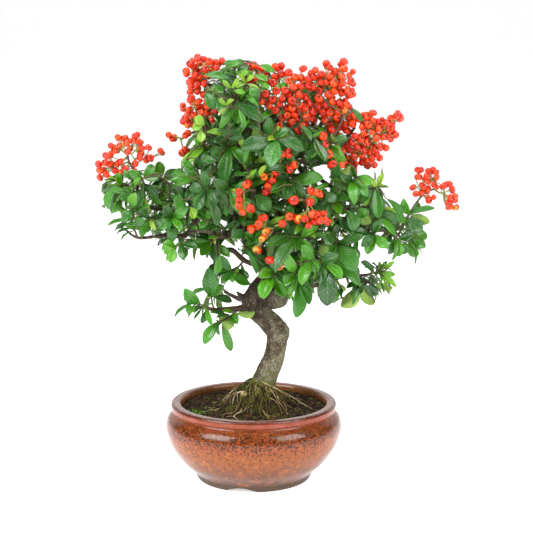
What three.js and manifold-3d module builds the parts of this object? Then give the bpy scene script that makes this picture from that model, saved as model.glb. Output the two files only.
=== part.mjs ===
// A narrowleaf firethorn bonsai in its glazed clay pot, in millimetres, +Z up, front towards -Y.
import * as THREE from "three";
import { mergeVertices } from "three/addons/utils/BufferGeometryUtils.js";
import Module from "manifold-3d";

const wasm = await Module();
wasm.setup();

// Places on the plant are given as they are seen from in front, as [across, height, depth]:
// across and height on the upright plane through the pot's axis, and depth behind that plane.
const EYE_ACROSS = 10.9;
const EYE_HEIGHT = 386;
const EYE_DISTANCE = 1219.6;

// Pot, a turned body with a lip and a foot ring that is cut away in three low arches.
const FOOT_HEIGHT = 4.8;
const FOOT_INNER_RADIUS = 39;
const DRAIN_RADIUS = 7;
const POT_SIDES = 30;
const POT_OUTSIDE = [
  [47.4, 0],
  [49.6, FOOT_HEIGHT],
  [54.2, 9.8],
  [62.2, 17.8],
  [70.5, 30],
  [74, 40],
  [74.8, 47],
  [72.8, 53.5],
  [68, 58.6],
  [70.3, 61],
  [70, 66],
];
const POT_INSIDE = [
  [62, 66],
  [61.6, 60],
  [67, 51],
  [65.5, 34],
  [57, 19.5],
  [44, 10.5],
  [DRAIN_RADIUS, 9.5],
];
const ARCH_WIDTH = 26;
const ARCH_HEIGHT = 3.4;
const ARCH_ANGLES = [-102, 18, 138];
const ARCH_START = 33;
const ARCH_LENGTH = 24;

// Soil, heaped a little to the middle, and the crown of roots that stands on it.
const CLEARANCE = 0.35;
const SOIL_CLEARANCE = 0.7;
const SOIL_BOTTOM = 11.5;
const SOIL_BOTTOM_RADIUS = 45;
const SOIL_WALL_CLEARANCE = 0.56;
const SOIL_TOP = 60.5;
const SOIL_TOP_RADIUS = 60.8;
const SOIL_HEAP_RADIUS = 46;
const SOIL_HEAP = 1;
const SOIL_WAVE = 0.9;
const SOIL_WAVE_RUNS = [5, 6];
const SOIL_SIDES = 18;
const CROWN_PLACE = [1, -2];
const CROWN_SIDES = 24;
const CROWN_BOTTOM = 52;
const CROWN_PROFILE = [
  [44, 56],
  [36, 60],
  [29, 65.5],
  [20, 74.5],
  [8, 83],
];
// Ridges of the skirt: [how many round it, share of the radius, phase], from one radius to another.
const CROWN_RIDGES = [
  [9, 0.07, 0],
  [4, 0.06, 1],
];
const CROWN_SKIRT = [8, 36];
// Roots: [distance from the crown's middle, height, radius].
const ROOT_ROWS = [
  [11, 81, 2.6],
  [20, 73.5, 2.2],
  [30, 65.5, 1.7],
  [41, 58.5, 1.1],
];
const ROOT_COUNT = 9;
const ROOT_SIDES = 4;
const ROOT_UNEVENNESS = 0.35;
const ROOT_SWAY = 0.09;
const ROOT_SLOPE = 0.7;

// Wood: [across, height, depth, radius].
const TRUNK = [
  [8.5, 60, 0, 11],
  [8.5, 82, 0, 10.3],
  [11.6, 90.8, 0, 9.8],
  [16.3, 101, 0, 9.2],
  [18.7, 110, 0, 8.9],
  [20, 119.7, 0, 9.5],
  [20.6, 125.8, 0, 10.3],
  [15.8, 131.6, 0, 9.4],
  [9.1, 138.5, 0, 9],
  [1.5, 146, 0, 9.6],
  [0, 152.5, 0, 10.4],
  [4.5, 161, 0, 9.2],
  [12, 173, 1, 8],
  [9, 185, 1, 7],
  [2, 197, 0, 6.5],
  [-6, 209, 0, 6],
  [-13, 226, 0, 5.5],
  [-14, 243, 0, 5],
  [-10, 258, 0, 4.5],
  [-8, 275, 0, 4],
  [-12, 295, 0, 3.3],
  [-17, 318, 0, 2.4],
  [-18, 331, 0, 1.6],
];
const STUB = [
  [6, 151, 1, 8],
  [14, 153.5, -4, 8.6],
  [20, 154.5, -8, 8.9],
  [24.5, 155, -11, 7.6],
  [26.5, 155, -12.5, 4.6],
];
const TRUNK_SIDES = 8;
const BRANCH_SIDES = 4;
const BRANCHES = {
  deadSnag: [[-5, 153, 0, 3], [-10, 156, -2, 2.2], [-14, 160, -3, 1]],
  lowLeft: [[-2, 147, 0, 3.2], [-16, 145.5, -6, 2.6], [-33, 144.5, -12, 2], [-37, 146, -14, 1.4]],
  longLeft: [
    [-8, 213, 0, 4.2],
    [-11, 213, -12, 3.9],
    [-28, 207, -24, 3.2],
    [-38, 212, -27, 3],
    [-53, 212, -30, 2.7],
    [-58, 207, -31, 2.5],
    [-72, 208, -32, 2.2],
    [-92, 206, -34, 1.9],
    [-99, 207, -35, 1.6],
    [-106, 212, -36, 1.2],
    [-112, 215.5, -37, 0.8],
  ],
  midLeft: [
    [-47, 213, -28.5, 2.3],
    [-50, 222, -26, 2.1],
    [-58, 227, -22, 1.9],
    [-70, 230, -20, 1.8],
    [-84, 231, -18, 1.7],
    [-95, 240, -18, 1.5],
    [-97, 258, -18, 1.2],
    [-99.5, 265, -18, 1],
  ],
  highLeft: [
    [-14, 243, 0, 3],
    [-30, 246, 8, 2.6],
    [-56, 246, 14, 2],
    [-66, 248, 16, 1.6],
    [-74, 252, 17, 1.1],
  ],
  upLeft: [
    [-9, 270, 0, 2.8],
    [-27, 285, -6, 2.2],
    [-35, 294, -9, 1.8],
    [-40, 299, -10, 1.5],
    [-46, 304, -12, 1.1],
  ],
  topLeft: [[-17, 320, 0, 1.9], [-27, 329, 3, 1.5], [-38, 334, 4, 1.2], [-44, 338, 4, 0.9]],
  top: [[-17, 322, 0, 1.7], [-10, 334, 2, 1.3], [-5, 342, 3, 1]],
  highRight: [
    [-15, 312, 0, 2.4],
    [-8, 305, 6, 2.3],
    [10, 300, 10, 2.2],
    [30, 293, 12, 2],
    [55, 295, 12, 1.8],
    [75, 290, 10, 1.5],
    [84, 298, 8, 1.2],
  ],
  mainRight: [
    [2, 199, 0, 5],
    [20, 216, -6, 4.2],
    [41, 216, -10, 3.6],
    [58, 217, -12, 3.1],
    [75, 222, -14, 2.7],
    [95, 216, -14, 2.2],
    [103, 212, -13, 2],
    [115, 212, -12, 1.7],
    [124, 206, -12, 1.3],
    [128, 205, -12, 1],
  ],
  upperRight: [
    [20, 216, -6, 2.8],
    [24, 236, -2, 2.5],
    [41, 233, 4, 2.2],
    [58, 232, 8, 2],
    [75, 230, 11, 1.6],
    [95, 232, 13, 1],
  ],
  midRight: [
    [-10, 258, 0, 3],
    [10, 258, -5, 2.6],
    [22, 264, -8, 2.3],
    [35, 270, -10, 2],
    [50, 268, -10, 1.7],
    [66, 270, -10, 1.2],
  ],
  forkRight: [
    [35, 270, -10, 1.8],
    [43, 258, -14, 1.8],
    [55, 255, -16, 1.7],
    [70, 247, -17, 1.5],
    [100, 245, -15, 1],
  ],
  lowRight: [
    [24, 156, -2, 2.8],
    [35, 165, -6, 2.3],
    [55, 166, -9, 1.9],
    [75, 173, -12, 1.5],
    [90, 174, -14, 1.3],
    [98, 175, -15, 1],
  ],
  knotLeft: [
    [8, 183, 0, 2.8],
    [0, 184, -9, 2.4],
    [-8, 187, -11, 2.2],
    [-17, 195, -12, 2],
    [-24, 196, -13, 1.5],
  ],
  frontHub: [[-13, 228, -2, 2.8], [-7, 233, -22, 2.2], [-1, 240, -42, 1.7], [1, 246, -56, 1.2]],
  frontRight: [[20, 216, -6, 2.5], [20, 213, -24, 1.9], [18, 211, -42, 1.3]],
  frontFar: [[23, 234, -2, 2.2], [32, 240, -24, 1.7], [38, 241, -44, 1.2]],
  frontHigh: [[-12, 292, -1, 2.2], [-6, 296, -20, 1.6], [2, 297, -38, 1.1]],
  frontLeft: [[-14, 243, -1, 2.4], [-24, 246, -22, 1.8], [-33, 244, -42, 1.2]],
  frontLow: [[5, 191, -2, 2.6], [14, 188, -22, 2.1], [28, 186, -40, 1.6], [40, 184, -52, 1.1]],
  backLow: [[10, 180, 2, 3], [8, 188, 25, 2.5], [16, 196, 48, 2], [26, 200, 66, 1.2]],
  backLeft: [[-7, 212, 2, 3.2], [-22, 222, 26, 2.6], [-42, 228, 46, 2], [-62, 228, 58, 1.2]],
  backMiddle: [[-14, 240, 2, 3], [-4, 252, 28, 2.4], [6, 262, 52, 1.8], [12, 264, 72, 1.2]],
  backUpLeft: [[-11, 262, 1, 2.8], [-22, 276, 24, 2.1], [-33, 285, 44, 1.6], [-38, 288, 56, 1.1]],
  backUpRight: [[-8, 276, 1, 2.6], [12, 288, 24, 2], [32, 298, 42, 1.5], [46, 302, 54, 1.1]],
  backRight: [[41, 216, -10, 2.6], [52, 224, 16, 2.2], [66, 228, 38, 1.7], [80, 230, 54, 1.1]],
  lowBackLeft: [[0, 152, 3, 2.6], [-12, 154, 22, 2], [-24, 160, 38, 1.2]],
  lowBackRight: [[8, 166, 3, 2.4], [24, 168, 24, 1.8], [42, 170, 38, 1.1]],
};

// Leafy shoots. A twig is a list of places, the first one inside the branch that carries it.
// A leaf is [across and height of its foot, across and height of its tip, width, tip's change of depth].
const SHOOTS = {
  lowLeftTip: {
    twig: [[-35, 145, -13], [-44, 149, -17], [-54, 150, -20]],
    leaves: [
      [-42, 150, -58, 163, 11, -6],
      [-37, 143, -44, 133, 6, -3],
      [-39, 144, -35, 131, 5, -8],
      [-52, 151, -60, 155, 6, 4],
      [-54, 150, -55, 141, 6, -6],
      [-46, 150, -40, 160, 7, 8],
    ],
  },
  lowLeftShoot: {
    twig: [[-33, 144.5, -12], [-35, 152, -10], [-36, 165, -8], [-37, 172, -6]],
    leaves: [
      [-35, 155, -37, 181, 14, -9],
      [-36, 160, -23, 167, 8, -7],
      [-35, 156, -18, 152, 7, 6],
      [-36, 166, -46, 176, 8, 8],
      [-37, 172, -32, 184, 8, 5],
    ],
  },
  lowLeftFan: {
    twig: [[-12, 145.6, -4], [-20, 139, -12], [-28, 135, -18], [-32, 136, -20]],
    leaves: [
      [-27, 135, -42, 115, 10, -5],
      [-24, 135, -19, 109, 8, 3],
      [-17, 141, -13, 126, 9, -8],
      [-31, 136, -43, 127, 7, 8],
      [-15, 143, 2, 139, 6, -9],
    ],
  },
  knotLow: {
    twig: [[-8, 187, -11], [-13, 181, -18], [-18, 177, -23]],
    leaves: [
      [-18, 177, -27, 191, 8, -4],
      [-12, 182, -18, 168, 8, -3],
      [-15, 179, -31, 174, 7, 5],
      [-12, 182, -4, 172, 8, -9],
      [-18, 177, -27, 167, 7, -7],
    ],
  },
  knotTip: {
    twig: [[-22, 195.6, -13], [-29, 200, -18], [-38, 204, -21]],
    leaves: [
      [-37, 203, -51, 200, 9, -6],
      [-36, 203, -44, 191, 9, -9],
      [-33, 202, -32, 186, 8, -4],
      [-29, 200, -20, 190, 8, -10],
      [-38, 204, -46, 207, 8, 6],
    ],
  },
  longLeftLow: {
    twig: [[-57, 207.6, -31], [-61, 201, -38], [-66, 198, -42]],
    leaves: [
      [-60, 202, -58, 188, 8, -4],
      [-63, 200, -75, 193, 8, 3],
      [-59, 204, -47, 198, 8, -8],
      [-66, 198, -70, 185, 8, -3],
      [-65, 199, -76, 201, 8, -8],
    ],
  },
  midLeftHang: {
    twig: [[-60, 227.6, -21.6], [-63, 225, -32], [-68, 223, -40]],
    leaves: [
      [-64, 224, -69, 202, 10, -5],
      [-68, 223, -60, 212, 8, -8],
      [-68, 223, -77, 213, 9, -4],
      [-64, 225, -54, 232, 9, -8],
      [-67, 223, -74, 233, 9, -8],
    ],
  },
  longLeftTip: {
    twig: [[-97, 206.6, -34.6], [-100, 216, -37], [-101, 231, -37]],
    leaves: [
      [-101, 230, -110, 219, 8, -6],
      [-101, 231, -98, 244, 8, -6],
      [-100, 220, -110, 229, 7, 6],
      [-100, 215, -91, 222, 8, -6],
      [-99, 212, -108, 217, 6, -5],
    ],
  },
  farLeftDrop: {
    twig: [[-96.4, 247, -18], [-106, 250, -25], [-112, 250, -30]],
    leaves: [
      [-112, 250, -121, 230, 8, -3],
      [-112, 250, -125, 243, 6, -5],
      [-109, 250, -118, 226, 8, 8],
      [-106, 250, -101, 234, 8, -5],
      [-107, 250, -114, 260, 8, 7],
    ],
  },
  farLeftRise: {
    twig: [[-95, 241, -18], [-90, 248, -24], [-92, 256, -30]],
    leaves: [
      [-92, 256, -77, 259, 8, -5],
      [-91, 247, -99, 230, 9, -8],
      [-90, 249, -80, 242, 8, -7],
      [-92, 255, -83, 267, 8, 7],
      [-91, 253, -103, 262, 8, -5],
    ],
  },
  midLeftTip: {
    twig: [[-82, 231, -18], [-83, 225, -27], [-88, 221, -34]],
    leaves: [
      [-86, 223, -76, 212, 10, -6],
      [-85, 224, -101, 215, 9, -6],
      [-87, 222, -94, 207, 8, 5],
      [-82, 230, -70, 219, 9, 4],
      [-86, 223, -93, 234, 8, -8],
    ],
  },
  highLeftTip: {
    twig: [[-64, 247.6, 15.6], [-73, 253, 10], [-80, 257, 6]],
    leaves: [
      [-78, 256, -90, 263, 9, 3],
      [-74, 253, -62, 263, 8, -6],
      [-76, 254, -78, 270, 9, 6],
      [-74, 253, -86, 243, 9, -8],
      [-70, 251, -76, 237, 10, -8],
      [-68, 250, -58, 238, 9, -8],
    ],
  },
  highLeftFront: {
    twig: [[-44, 246, 11.6], [-47, 252, -4], [-46, 257, -18], [-42, 258, -26]],
    leaves: [
      [-46, 257, -56, 237, 9, -9],
      [-42, 258, -38, 231, 8, -9],
      [-48, 252, -64, 250, 9, -4],
      [-45, 257, -35, 268, 8, -5],
      [-47, 254, -57, 266, 9, 6],
    ],
  },
  upLeftFront: {
    twig: [[-28, 286, -6.4], [-34, 284, -18], [-40, 280, -27]],
    leaves: [
      [-40, 280, -60, 265, 9, -5],
      [-33, 284, -42, 267, 8, -6],
      [-36, 283, -25, 270, 9, -7],
      [-39, 280, -49, 288, 9, -8],
      [-39, 280, -45, 263, 8, 6],
    ],
  },
  trunkHighFront: {
    twig: [[-8.5, 278, -1], [-14, 281, -18], [-20, 283, -32]],
    leaves: [
      [-20, 283, -25, 251, 14, -9],
      [-16, 282, -4, 266, 10, -8],
      [-19, 283, -33, 288, 9, -7],
      [-20, 283, -11, 294, 9, -8],
      [-17, 282, -11, 266, 9, 6],
    ],
  },
  frontLeftTip: {
    twig: [[-31, 244.4, -38], [-35, 246, -50], [-40, 248, -56]],
    leaves: [
      [-34, 245, -30, 216, 10, -8],
      [-37, 246, -47, 229, 10, -6],
      [-34, 245, -21, 232, 9, -8],
      [-40, 248, -53, 247, 9, -7],
      [-38, 247, -41, 262, 9, -6],
    ],
  },
  frontHubLeft: {
    twig: [[-5, 234.7, -27], [-12, 241, -42], [-20, 247, -52]],
    leaves: [
      [-20, 247, -10, 227, 10, -6],
      [-14, 243, -27, 232, 9, 8],
      [-16, 244, -3, 251, 9, -8],
      [-20, 247, -33, 256, 9, -6],
      [-10, 239, -2, 223, 9, -14],
    ],
  },
  frontLowLeft: {
    twig: [[18, 187.4, -28], [17, 180, -38], [16, 173, -44]],
    leaves: [
      [17, 177, 5, 155, 9, -4],
      [16, 173, 8, 154, 14, -9],
      [17, 175, 26, 155, 9, -7],
      [18, 185, 2, 190, 9, -9],
      [17, 181, 4, 173, 9, -10],
    ],
  },
  frontLowMiddle: {
    twig: [[31, 185.6, -43], [36, 176, -52], [38, 169, -55]],
    leaves: [
      [37, 170, 36, 138, 12, -4],
      [38, 169, 47, 149, 9, -7],
      [35, 178, 26, 165, 9, -9],
      [37, 172, 51, 176, 9, -8],
      [34, 180, 24, 196, 9, -9],
    ],
  },
  frontLowRight: {
    twig: [[38, 184.3, -50], [50, 187, -60], [60, 184, -64]],
    leaves: [
      [60, 184, 62, 148, 18, -3],
      [50, 187, 41, 200, 9, -8],
      [56, 186, 71, 192, 10, -8],
      [47, 187, 40, 166, 10, -10],
      [59, 184, 74, 171, 10, -9],
    ],
  },
  frontRightDark: {
    twig: [[18.4, 211.4, -38], [30, 208, -48], [42, 206, -54]],
    leaves: [
      [40, 206, 18, 177, 12, -8],
      [36, 207, 50, 192, 10, -9],
      [40, 206, 54, 215, 9, -7],
      [29, 208, 23, 222, 8, -8],
      [26, 209, 11, 200, 9, -9],
    ],
  },
  frontFarTip: {
    twig: [[33, 240, -29], [31, 248, -38], [28, 257, -46]],
    leaves: [
      [28, 256, 27, 238, 12, -12],
      [30, 249, 58, 256, 14, -10],
      [28, 257, 13, 263, 10, -6],
      [30, 251, 15, 244, 9, -14],
      [28, 257, 38, 269, 9, -6],
    ],
  },
  upperRightFront: {
    twig: [[58, 232, 8], [60, 236, -14], [64, 239, -30]],
    leaves: [
      [62, 237, 79, 239, 11, -6],
      [64, 239, 72, 252, 9, -7],
      [63, 238, 52, 226, 9, -9],
      [64, 239, 58, 222, 9, -8],
      [62, 237, 72, 226, 9, -6],
    ],
  },
  mainRightLow: {
    twig: [[72, 221, -13.6], [71, 211, -24], [70, 201, -32]],
    leaves: [
      [70, 201, 92, 208, 8, -5],
      [70, 201, 60, 184, 10, -6],
      [70, 201, 86, 178, 15, -8],
      [71, 207, 57, 206, 10, -7],
      [70, 202, 72, 180, 10, 9],
    ],
  },
  mainRightMiddle: {
    twig: [[88, 218, -14], [95, 212, -24], [102, 207, -30]],
    leaves: [
      [102, 207, 90, 199, 9, -7],
      [97, 211, 83, 212, 9, -7],
      [99, 209, 95, 192, 9, -6],
      [101, 208, 113, 198, 9, -5],
      [100, 209, 108, 221, 8, -6],
    ],
  },
  mainRightOuter: {
    twig: [[112, 212, -12], [116, 208, -20], [121, 205, -26]],
    leaves: [
      [115, 209, 113, 192, 8, -4],
      [118, 207, 122, 190, 9, -6],
      [117, 208, 105, 222, 9, -7],
      [121, 205, 134, 210, 9, -6],
    ],
  },
  mainRightTip: {
    twig: [[124, 206, -12], [128, 203, -14], [132, 204, -16]],
    leaves: [
      [130, 204, 145, 209, 12, 6],
      [131, 204, 144, 198, 9, -4],
      [129, 203, 137, 190, 9, 4],
      [127, 204, 125, 192, 8, 4],
    ],
  },
  farRightShoot: {
    twig: [[118, 210, -12], [122, 218, -20], [130, 226, -24]],
    leaves: [
      [129, 225, 151, 231, 7, 4],
      [128, 225, 147, 219, 7, -5],
      [125, 221, 141, 211, 12, -6],
      [129, 225, 125, 239, 8, -6],
      [123, 219, 110, 229, 9, -7],
    ],
  },
  youngRight: {
    twig: [[92, 245, -15.4], [98, 247, -22], [103, 249, -25]],
    leaves: [
      [103, 249, 108, 261, 6, -4],
      [102, 249, 97, 260, 6, -5],
      [103, 249, 115, 251, 6, 4],
      [101, 248, 104, 222, 11, -7],
      [98, 247, 90, 236, 8, -7],
      [99, 248, 92, 256, 6, 6],
    ],
  },
  forkRightFront: {
    twig: [[73, 246.7, -17], [80, 251, -27], [84, 257, -34]],
    leaves: [
      [84, 256, 98, 251, 9, -5],
      [81, 252, 95, 241, 9, -7],
      [79, 250, 71, 260, 9, -8],
      [84, 257, 79, 268, 9, -4],
      [80, 251, 84, 234, 9, -8],
    ],
  },
  midRightFront: {
    twig: [[58, 269, -10], [63, 276, -22], [64, 284, -32]],
    leaves: [
      [64, 283, 68, 251, 9, -10],
      [63, 279, 76, 270, 10, -7],
      [64, 282, 54, 268, 10, -8],
      [64, 284, 78, 289, 9, -6],
      [63, 277, 49, 283, 9, -7],
    ],
  },
  trunkTopFront: {
    twig: [[-16.7, 316, -1], [-14, 317, -14], [-11, 319, -24]],
    leaves: [
      [-15, 317, -28, 297, 8, -6],
      [-12, 318, 9, 303, 12, -6],
      [-12, 319, -3, 330, 9, -7],
      [-14, 318, -27, 324, 9, -6],
      [-12, 318, -13, 301, 9, -9],
    ],
  },
  frontHighTip: {
    twig: [[0, 297, -34], [10, 292, -46], [20, 288, -52]],
    leaves: [
      [17, 289, -10, 281, 13, -8],
      [19, 288, 14, 265, 14, -6],
      [20, 288, 42, 279, 10, -4],
      [17, 290, 29, 296, 8, -7],
      [9, 292, 14, 306, 8, -8],
    ],
  },
  topShoot: {
    twig: [[-12, 331, 1.4], [-14, 338, -5], [-15, 346, -8]],
    leaves: [
      [-15, 346, -8, 353, 7, -4],
      [-15, 345, -24, 351, 7, 5],
      [-14, 341, 0, 341, 8, -8],
      [-14, 338, -26, 333, 8, -8],
      [-14, 342, -4, 349, 8, 10],
    ],
  },
  lowRightTip: {
    twig: [[95, 174.6, -14.6], [103, 177, -18], [110, 178, -20]],
    leaves: [
      [104, 177, 119, 175, 7, 6],
      [102, 176, 120, 164, 8, -6],
      [108, 178, 114, 158, 8, -7],
      [100, 176, 90, 186, 8, -6],
      [110, 178, 118, 188, 7, -3],
    ],
  },
  lowRightHang: {
    twig: [[82, 173.6, -13], [87, 169, -20], [91, 166, -24]],
    leaves: [
      [90, 167, 74, 147, 12, -5],
      [91, 166, 101, 149, 10, -6],
      [87, 169, 74, 164, 9, -8],
      [91, 166, 105, 158, 8, 6],
      [84, 172, 78, 185, 9, -8],
    ],
  },
};

// Shoots round the sides and back. Their leaves stand round the twig by a rule.
const RING_SHOOTS = {
  backLowTip: [[22, 198.4, 60], [36, 206, 76], 6],
  backLeftTip: [[-56, 228, 54], [-80, 236, 66], 6],
  backMiddleTip: [[10, 263.4, 66], [6, 276, 88], 6],
  backMiddleSide: [[3, 260, 46], [-22, 252, 70], 6],
  backUpLeftTip: [[-36, 286.8, 52], [-35, 295, 76], 6],
  backUpRightTip: [[40, 300, 49], [58, 290, 72], 6],
  backRightTip: [[76, 229.4, 50], [102, 240, 60], 6],
  lowBackLeftTip: [[-20, 158, 34], [-38, 164, 52], 6],
};
const TURN_OF_A_LEAF = THREE.MathUtils.degToRad(137.5);
// Least value and spread.
const RING_LENGTH = [20, 9];
const RING_WIDTH = [8.5, 3.5];
const RING_DROOP = [0.1, 0.35];
const RING_START = 0.3;
const RING_OUTWARDS = 0.85;
const RING_FORWARDS = 0.55;
const RING_BEND = 0.04;
const RING_RISE = 3;

// First and last radius of the twigs that carry named leaves, a ring of leaves, and berries.
const TWIG_SIDES = 3;
const TWIG_RADII = [1.1, 0.75];
const RING_RADII = [1.2, 0.75];
const STALK_RADII = [1.1, 0.9];

// Berries. A stalk is a list of places, the first one inside wood, and each berry is
// [across, height]. depth is [middle, half spread].
const BERRY_RADIUS = 3.35;
const STEM_RADIUS = 0.75;
const STEM_START = 0.3;
const GOLDEN_SHARE = 0.618;
const GOLDEN_START = 0.3;
const BERRY_BEND = 0.5;
const BUNCHES = {
  farLeft: {
    stalk: [[-99.5, 264, -18], [-103, 270, -14], [-104, 276, -12]],
    depth: [-10, 22],
    berries: [
      [-112, 290], [-98, 291], [-111, 281], [-105, 285], [-97, 287], [-86, 281], [-77, 279],
      [-85, 273], [-94, 275], [-110, 270], [-121, 275], [-128, 267], [-112, 255],
    ],
  },
  topLeft: {
    stalk: [[-42, 337, 4], [-45, 341, 3], [-45, 345, 3]],
    depth: [2, 20],
    berries: [
      [-46, 354], [-36, 352], [-52, 350], [-44, 348], [-34, 345], [-48, 340], [-51, 334],
      [-43, 334], [-43, 326],
    ],
  },
  upLeft: {
    stalk: [[-44, 303, -11.4], [-46, 307, -14], [-47, 312, -15]],
    depth: [-14, 12],
    berries: [
      [-46, 319], [-38, 315], [-43, 310], [-54, 312], [-49, 308], [-48, 299],
    ],
  },
  topMiddle: {
    stalk: [[-7, 339.4, 2.6], [0, 341, 4], [6, 341, 6]],
    depth: [10, 10],
    berries: [
      [-3, 348], [3, 347], [10, 337], [1, 335],
    ],
  },
  crownLeft: {
    stalk: [[22, 296, 11], [22, 310, 0], [24, 326, -6]],
    depth: [-10, 30],
    berries: [
      [18, 348], [24, 342], [34, 339], [16, 334], [31, 331], [10, 325], [19, 319], [7, 318],
      [28, 308], [22, 300], [43, 323], [38, 297], [49, 311],
    ],
  },
  crownRight: {
    stalk: [[55, 295, 12], [58, 312, 4], [64, 328, 0]],
    depth: [0, 24],
    berries: [
      [41, 346], [47, 338], [57, 341], [63, 347], [74, 352], [79, 341], [71, 334], [53, 330],
      [73, 325], [81, 325], [58, 313],
    ],
  },
  right: {
    stalk: [[80, 293.4, 9.2], [91, 290, 0], [98, 285, -6]],
    depth: [-6, 26],
    berries: [
      [98, 310], [121, 307], [111, 300], [118, 292], [95, 296], [84, 290], [104, 286], [92, 281],
      [101, 275], [85, 268], [76, 309], [78, 298],
    ],
  },
  farRight: {
    stalk: [[121, 208.3, -12], [128, 222, -10], [134, 233, -8], [142, 243, -8], [150, 247, -8]],
    depth: [-8, 18],
    berries: [
      [136, 263], [138, 256], [150, 262], [152, 256], [145, 253], [132, 248], [136, 242],
      [152, 242], [160, 250], [166, 248], [162, 234], [168, 231],
    ],
  },
  frontHub: {
    stalk: [[1, 245.6, -55], [-4, 246, -64], [-8, 244, -68]],
    depth: [-68, 7],
    berries: [
      [-6, 251], [-13, 245], [-8, 231], [-1, 235],
    ],
  },
  frontRightHub: {
    stalk: [[18, 211, -40], [16, 212, -56], [18, 216, -62]],
    depth: [-62, 8],
    berries: [
      [24, 219], [31, 224], [9, 222], [10, 208], [6, 203],
    ],
  },
  frontFarHub: {
    stalk: [[37.4, 241, -42], [40, 239, -58], [46, 236, -66]],
    depth: [-66, 9],
    berries: [
      [34, 237], [48, 246], [50, 235], [43, 223], [50, 224], [56, 226], [60, 221],
    ],
  },
  backLeft: {
    stalk: [[-36, 286.6, 51], [-41, 296, 58], [-44, 304, 62]],
    depth: [64, 14],
    berries: [
      [-46, 314], [-38, 312], [-54, 310], [-34, 304], [-50, 306], [-40, 300],
    ],
  },
  backRight: {
    stalk: [[36, 299, 45], [42, 308, 56], [46, 314, 62]],
    depth: [62, 16],
    berries: [
      [36, 320], [46, 324], [56, 318], [38, 310], [48, 312], [50, 302], [32, 312],
    ],
  },
};

// Blades are thin arched sheets. Their widest place and the shoulders of the blunt tip are
// [share of the length, share of the width], measured from the foot.
const BLADE_THICKNESS = 0.72;
const BLADE_WIDEST = [0.52, 1];
const BLADE_SHOULDER = [0.86, 0.72];
const BLADE_ARCH = 0.12;
const ROOT_SHARE = 0.2;
const BENDS = [0, -4, 4, -8, 8, -13, 13, -18, 18];

const MATERIALS = {
  pot: { color: 0xb5623a, roughness: 0.25 },
  soil: { color: 0x2e2118, roughness: 1 },
  wood: { color: 0x6b6353, roughness: 0.9 },
  leaf: { color: 0x2c6b1f, roughness: 0.45 },
  berry: { color: 0xd9341a, roughness: 0.35 },
};

// Edges left by a join that are shorter than this are merged away. The first that suits is used.
const SEAM_TOLERANCES = [0.15, 0.12, 0.09, 0.06, 0.03];

const UP = new THREE.Vector3(0, 0, 1);
const FIRST_SIDE = new THREE.Vector3(0.31, 0.17, 0.93);
const TOWARDS_FRONT = new THREE.Vector3(0, -1, 0.55);
const MERGING = 1e-3;

function place([across, height, depth]) {
  const reach = 1 + depth / EYE_DISTANCE;
  return new THREE.Vector3(
    EYE_ACROSS + (across - EYE_ACROSS) * reach,
    depth,
    EYE_HEIGHT + (height - EYE_HEIGHT) * reach,
  );
}

function solidFrom(positions, triangles) {
  return new wasm.Manifold(
    new wasm.Mesh({
      numProp: 3,
      vertProperties: new Float32Array(positions),
      triVerts: new Uint32Array(triangles),
    }),
  );
}

function solidOf(geometry) {
  const bare = new THREE.BufferGeometry();
  bare.setAttribute("position", geometry.getAttribute("position"));
  bare.setIndex(geometry.index);
  const merged = mergeVertices(bare, MERGING);
  return solidFrom(merged.getAttribute("position").array, merged.index.array);
}

function geometryOf(solid) {
  const mesh = solid.getMesh();
  const geometry = new THREE.BufferGeometry();
  geometry.setAttribute("position", new THREE.BufferAttribute(mesh.vertProperties, 3));
  geometry.setIndex(new THREE.BufferAttribute(mesh.triVerts, 1));
  geometry.computeVertexNormals();
  return geometry;
}

function turned(profile, sides) {
  const points = profile.map(([radius, height]) => new THREE.Vector2(radius, height));
  return new THREE.LatheGeometry(points, sides).rotateX(Math.PI / 2);
}

function largestBody(solid) {
  const bodies = solid.decompose();
  return bodies.reduce((a, b) => (b.volume() > a.volume() ? b : a));
}

// A closed round rod through the centres, with one radius for each.
function rod(centres, radii, sides) {
  const positions = [];
  const triangles = [];
  const last = centres.length - 1;
  let side = FIRST_SIDE.clone();
  centres.forEach((centre, i) => {
    const before = centres[Math.max(i - 1, 0)];
    const after = centres[Math.min(i + 1, last)];
    const along = after.clone().sub(before).normalize();
    side = side.clone().addScaledVector(along, -side.dot(along)).normalize();
    const third = along.clone().cross(side);
    for (let k = 0; k < sides; k++) {
      const turn = (2 * Math.PI * k) / sides;
      const point = centre
        .clone()
        .addScaledVector(side, radii[i] * Math.cos(turn))
        .addScaledVector(third, radii[i] * Math.sin(turn));
      positions.push(...point);
    }
  });
  for (let i = 0; i < last; i++) {
    for (let k = 0; k < sides; k++) {
      const a = i * sides + k;
      const b = i * sides + ((k + 1) % sides);
      triangles.push(a, b, b + sides, a, b + sides, a + sides);
    }
  }
  for (let k = 2; k < sides; k++) {
    triangles.push(0, k, k - 1);
    triangles.push(last * sides, last * sides + k - 1, last * sides + k);
  }
  return solidFrom(positions, triangles);
}

function branch(rows, sides, grow) {
  const widen = grow / Math.cos(Math.PI / sides);
  return rod(rows.map(place), rows.map((row) => row[3] + widen), sides);
}

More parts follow.
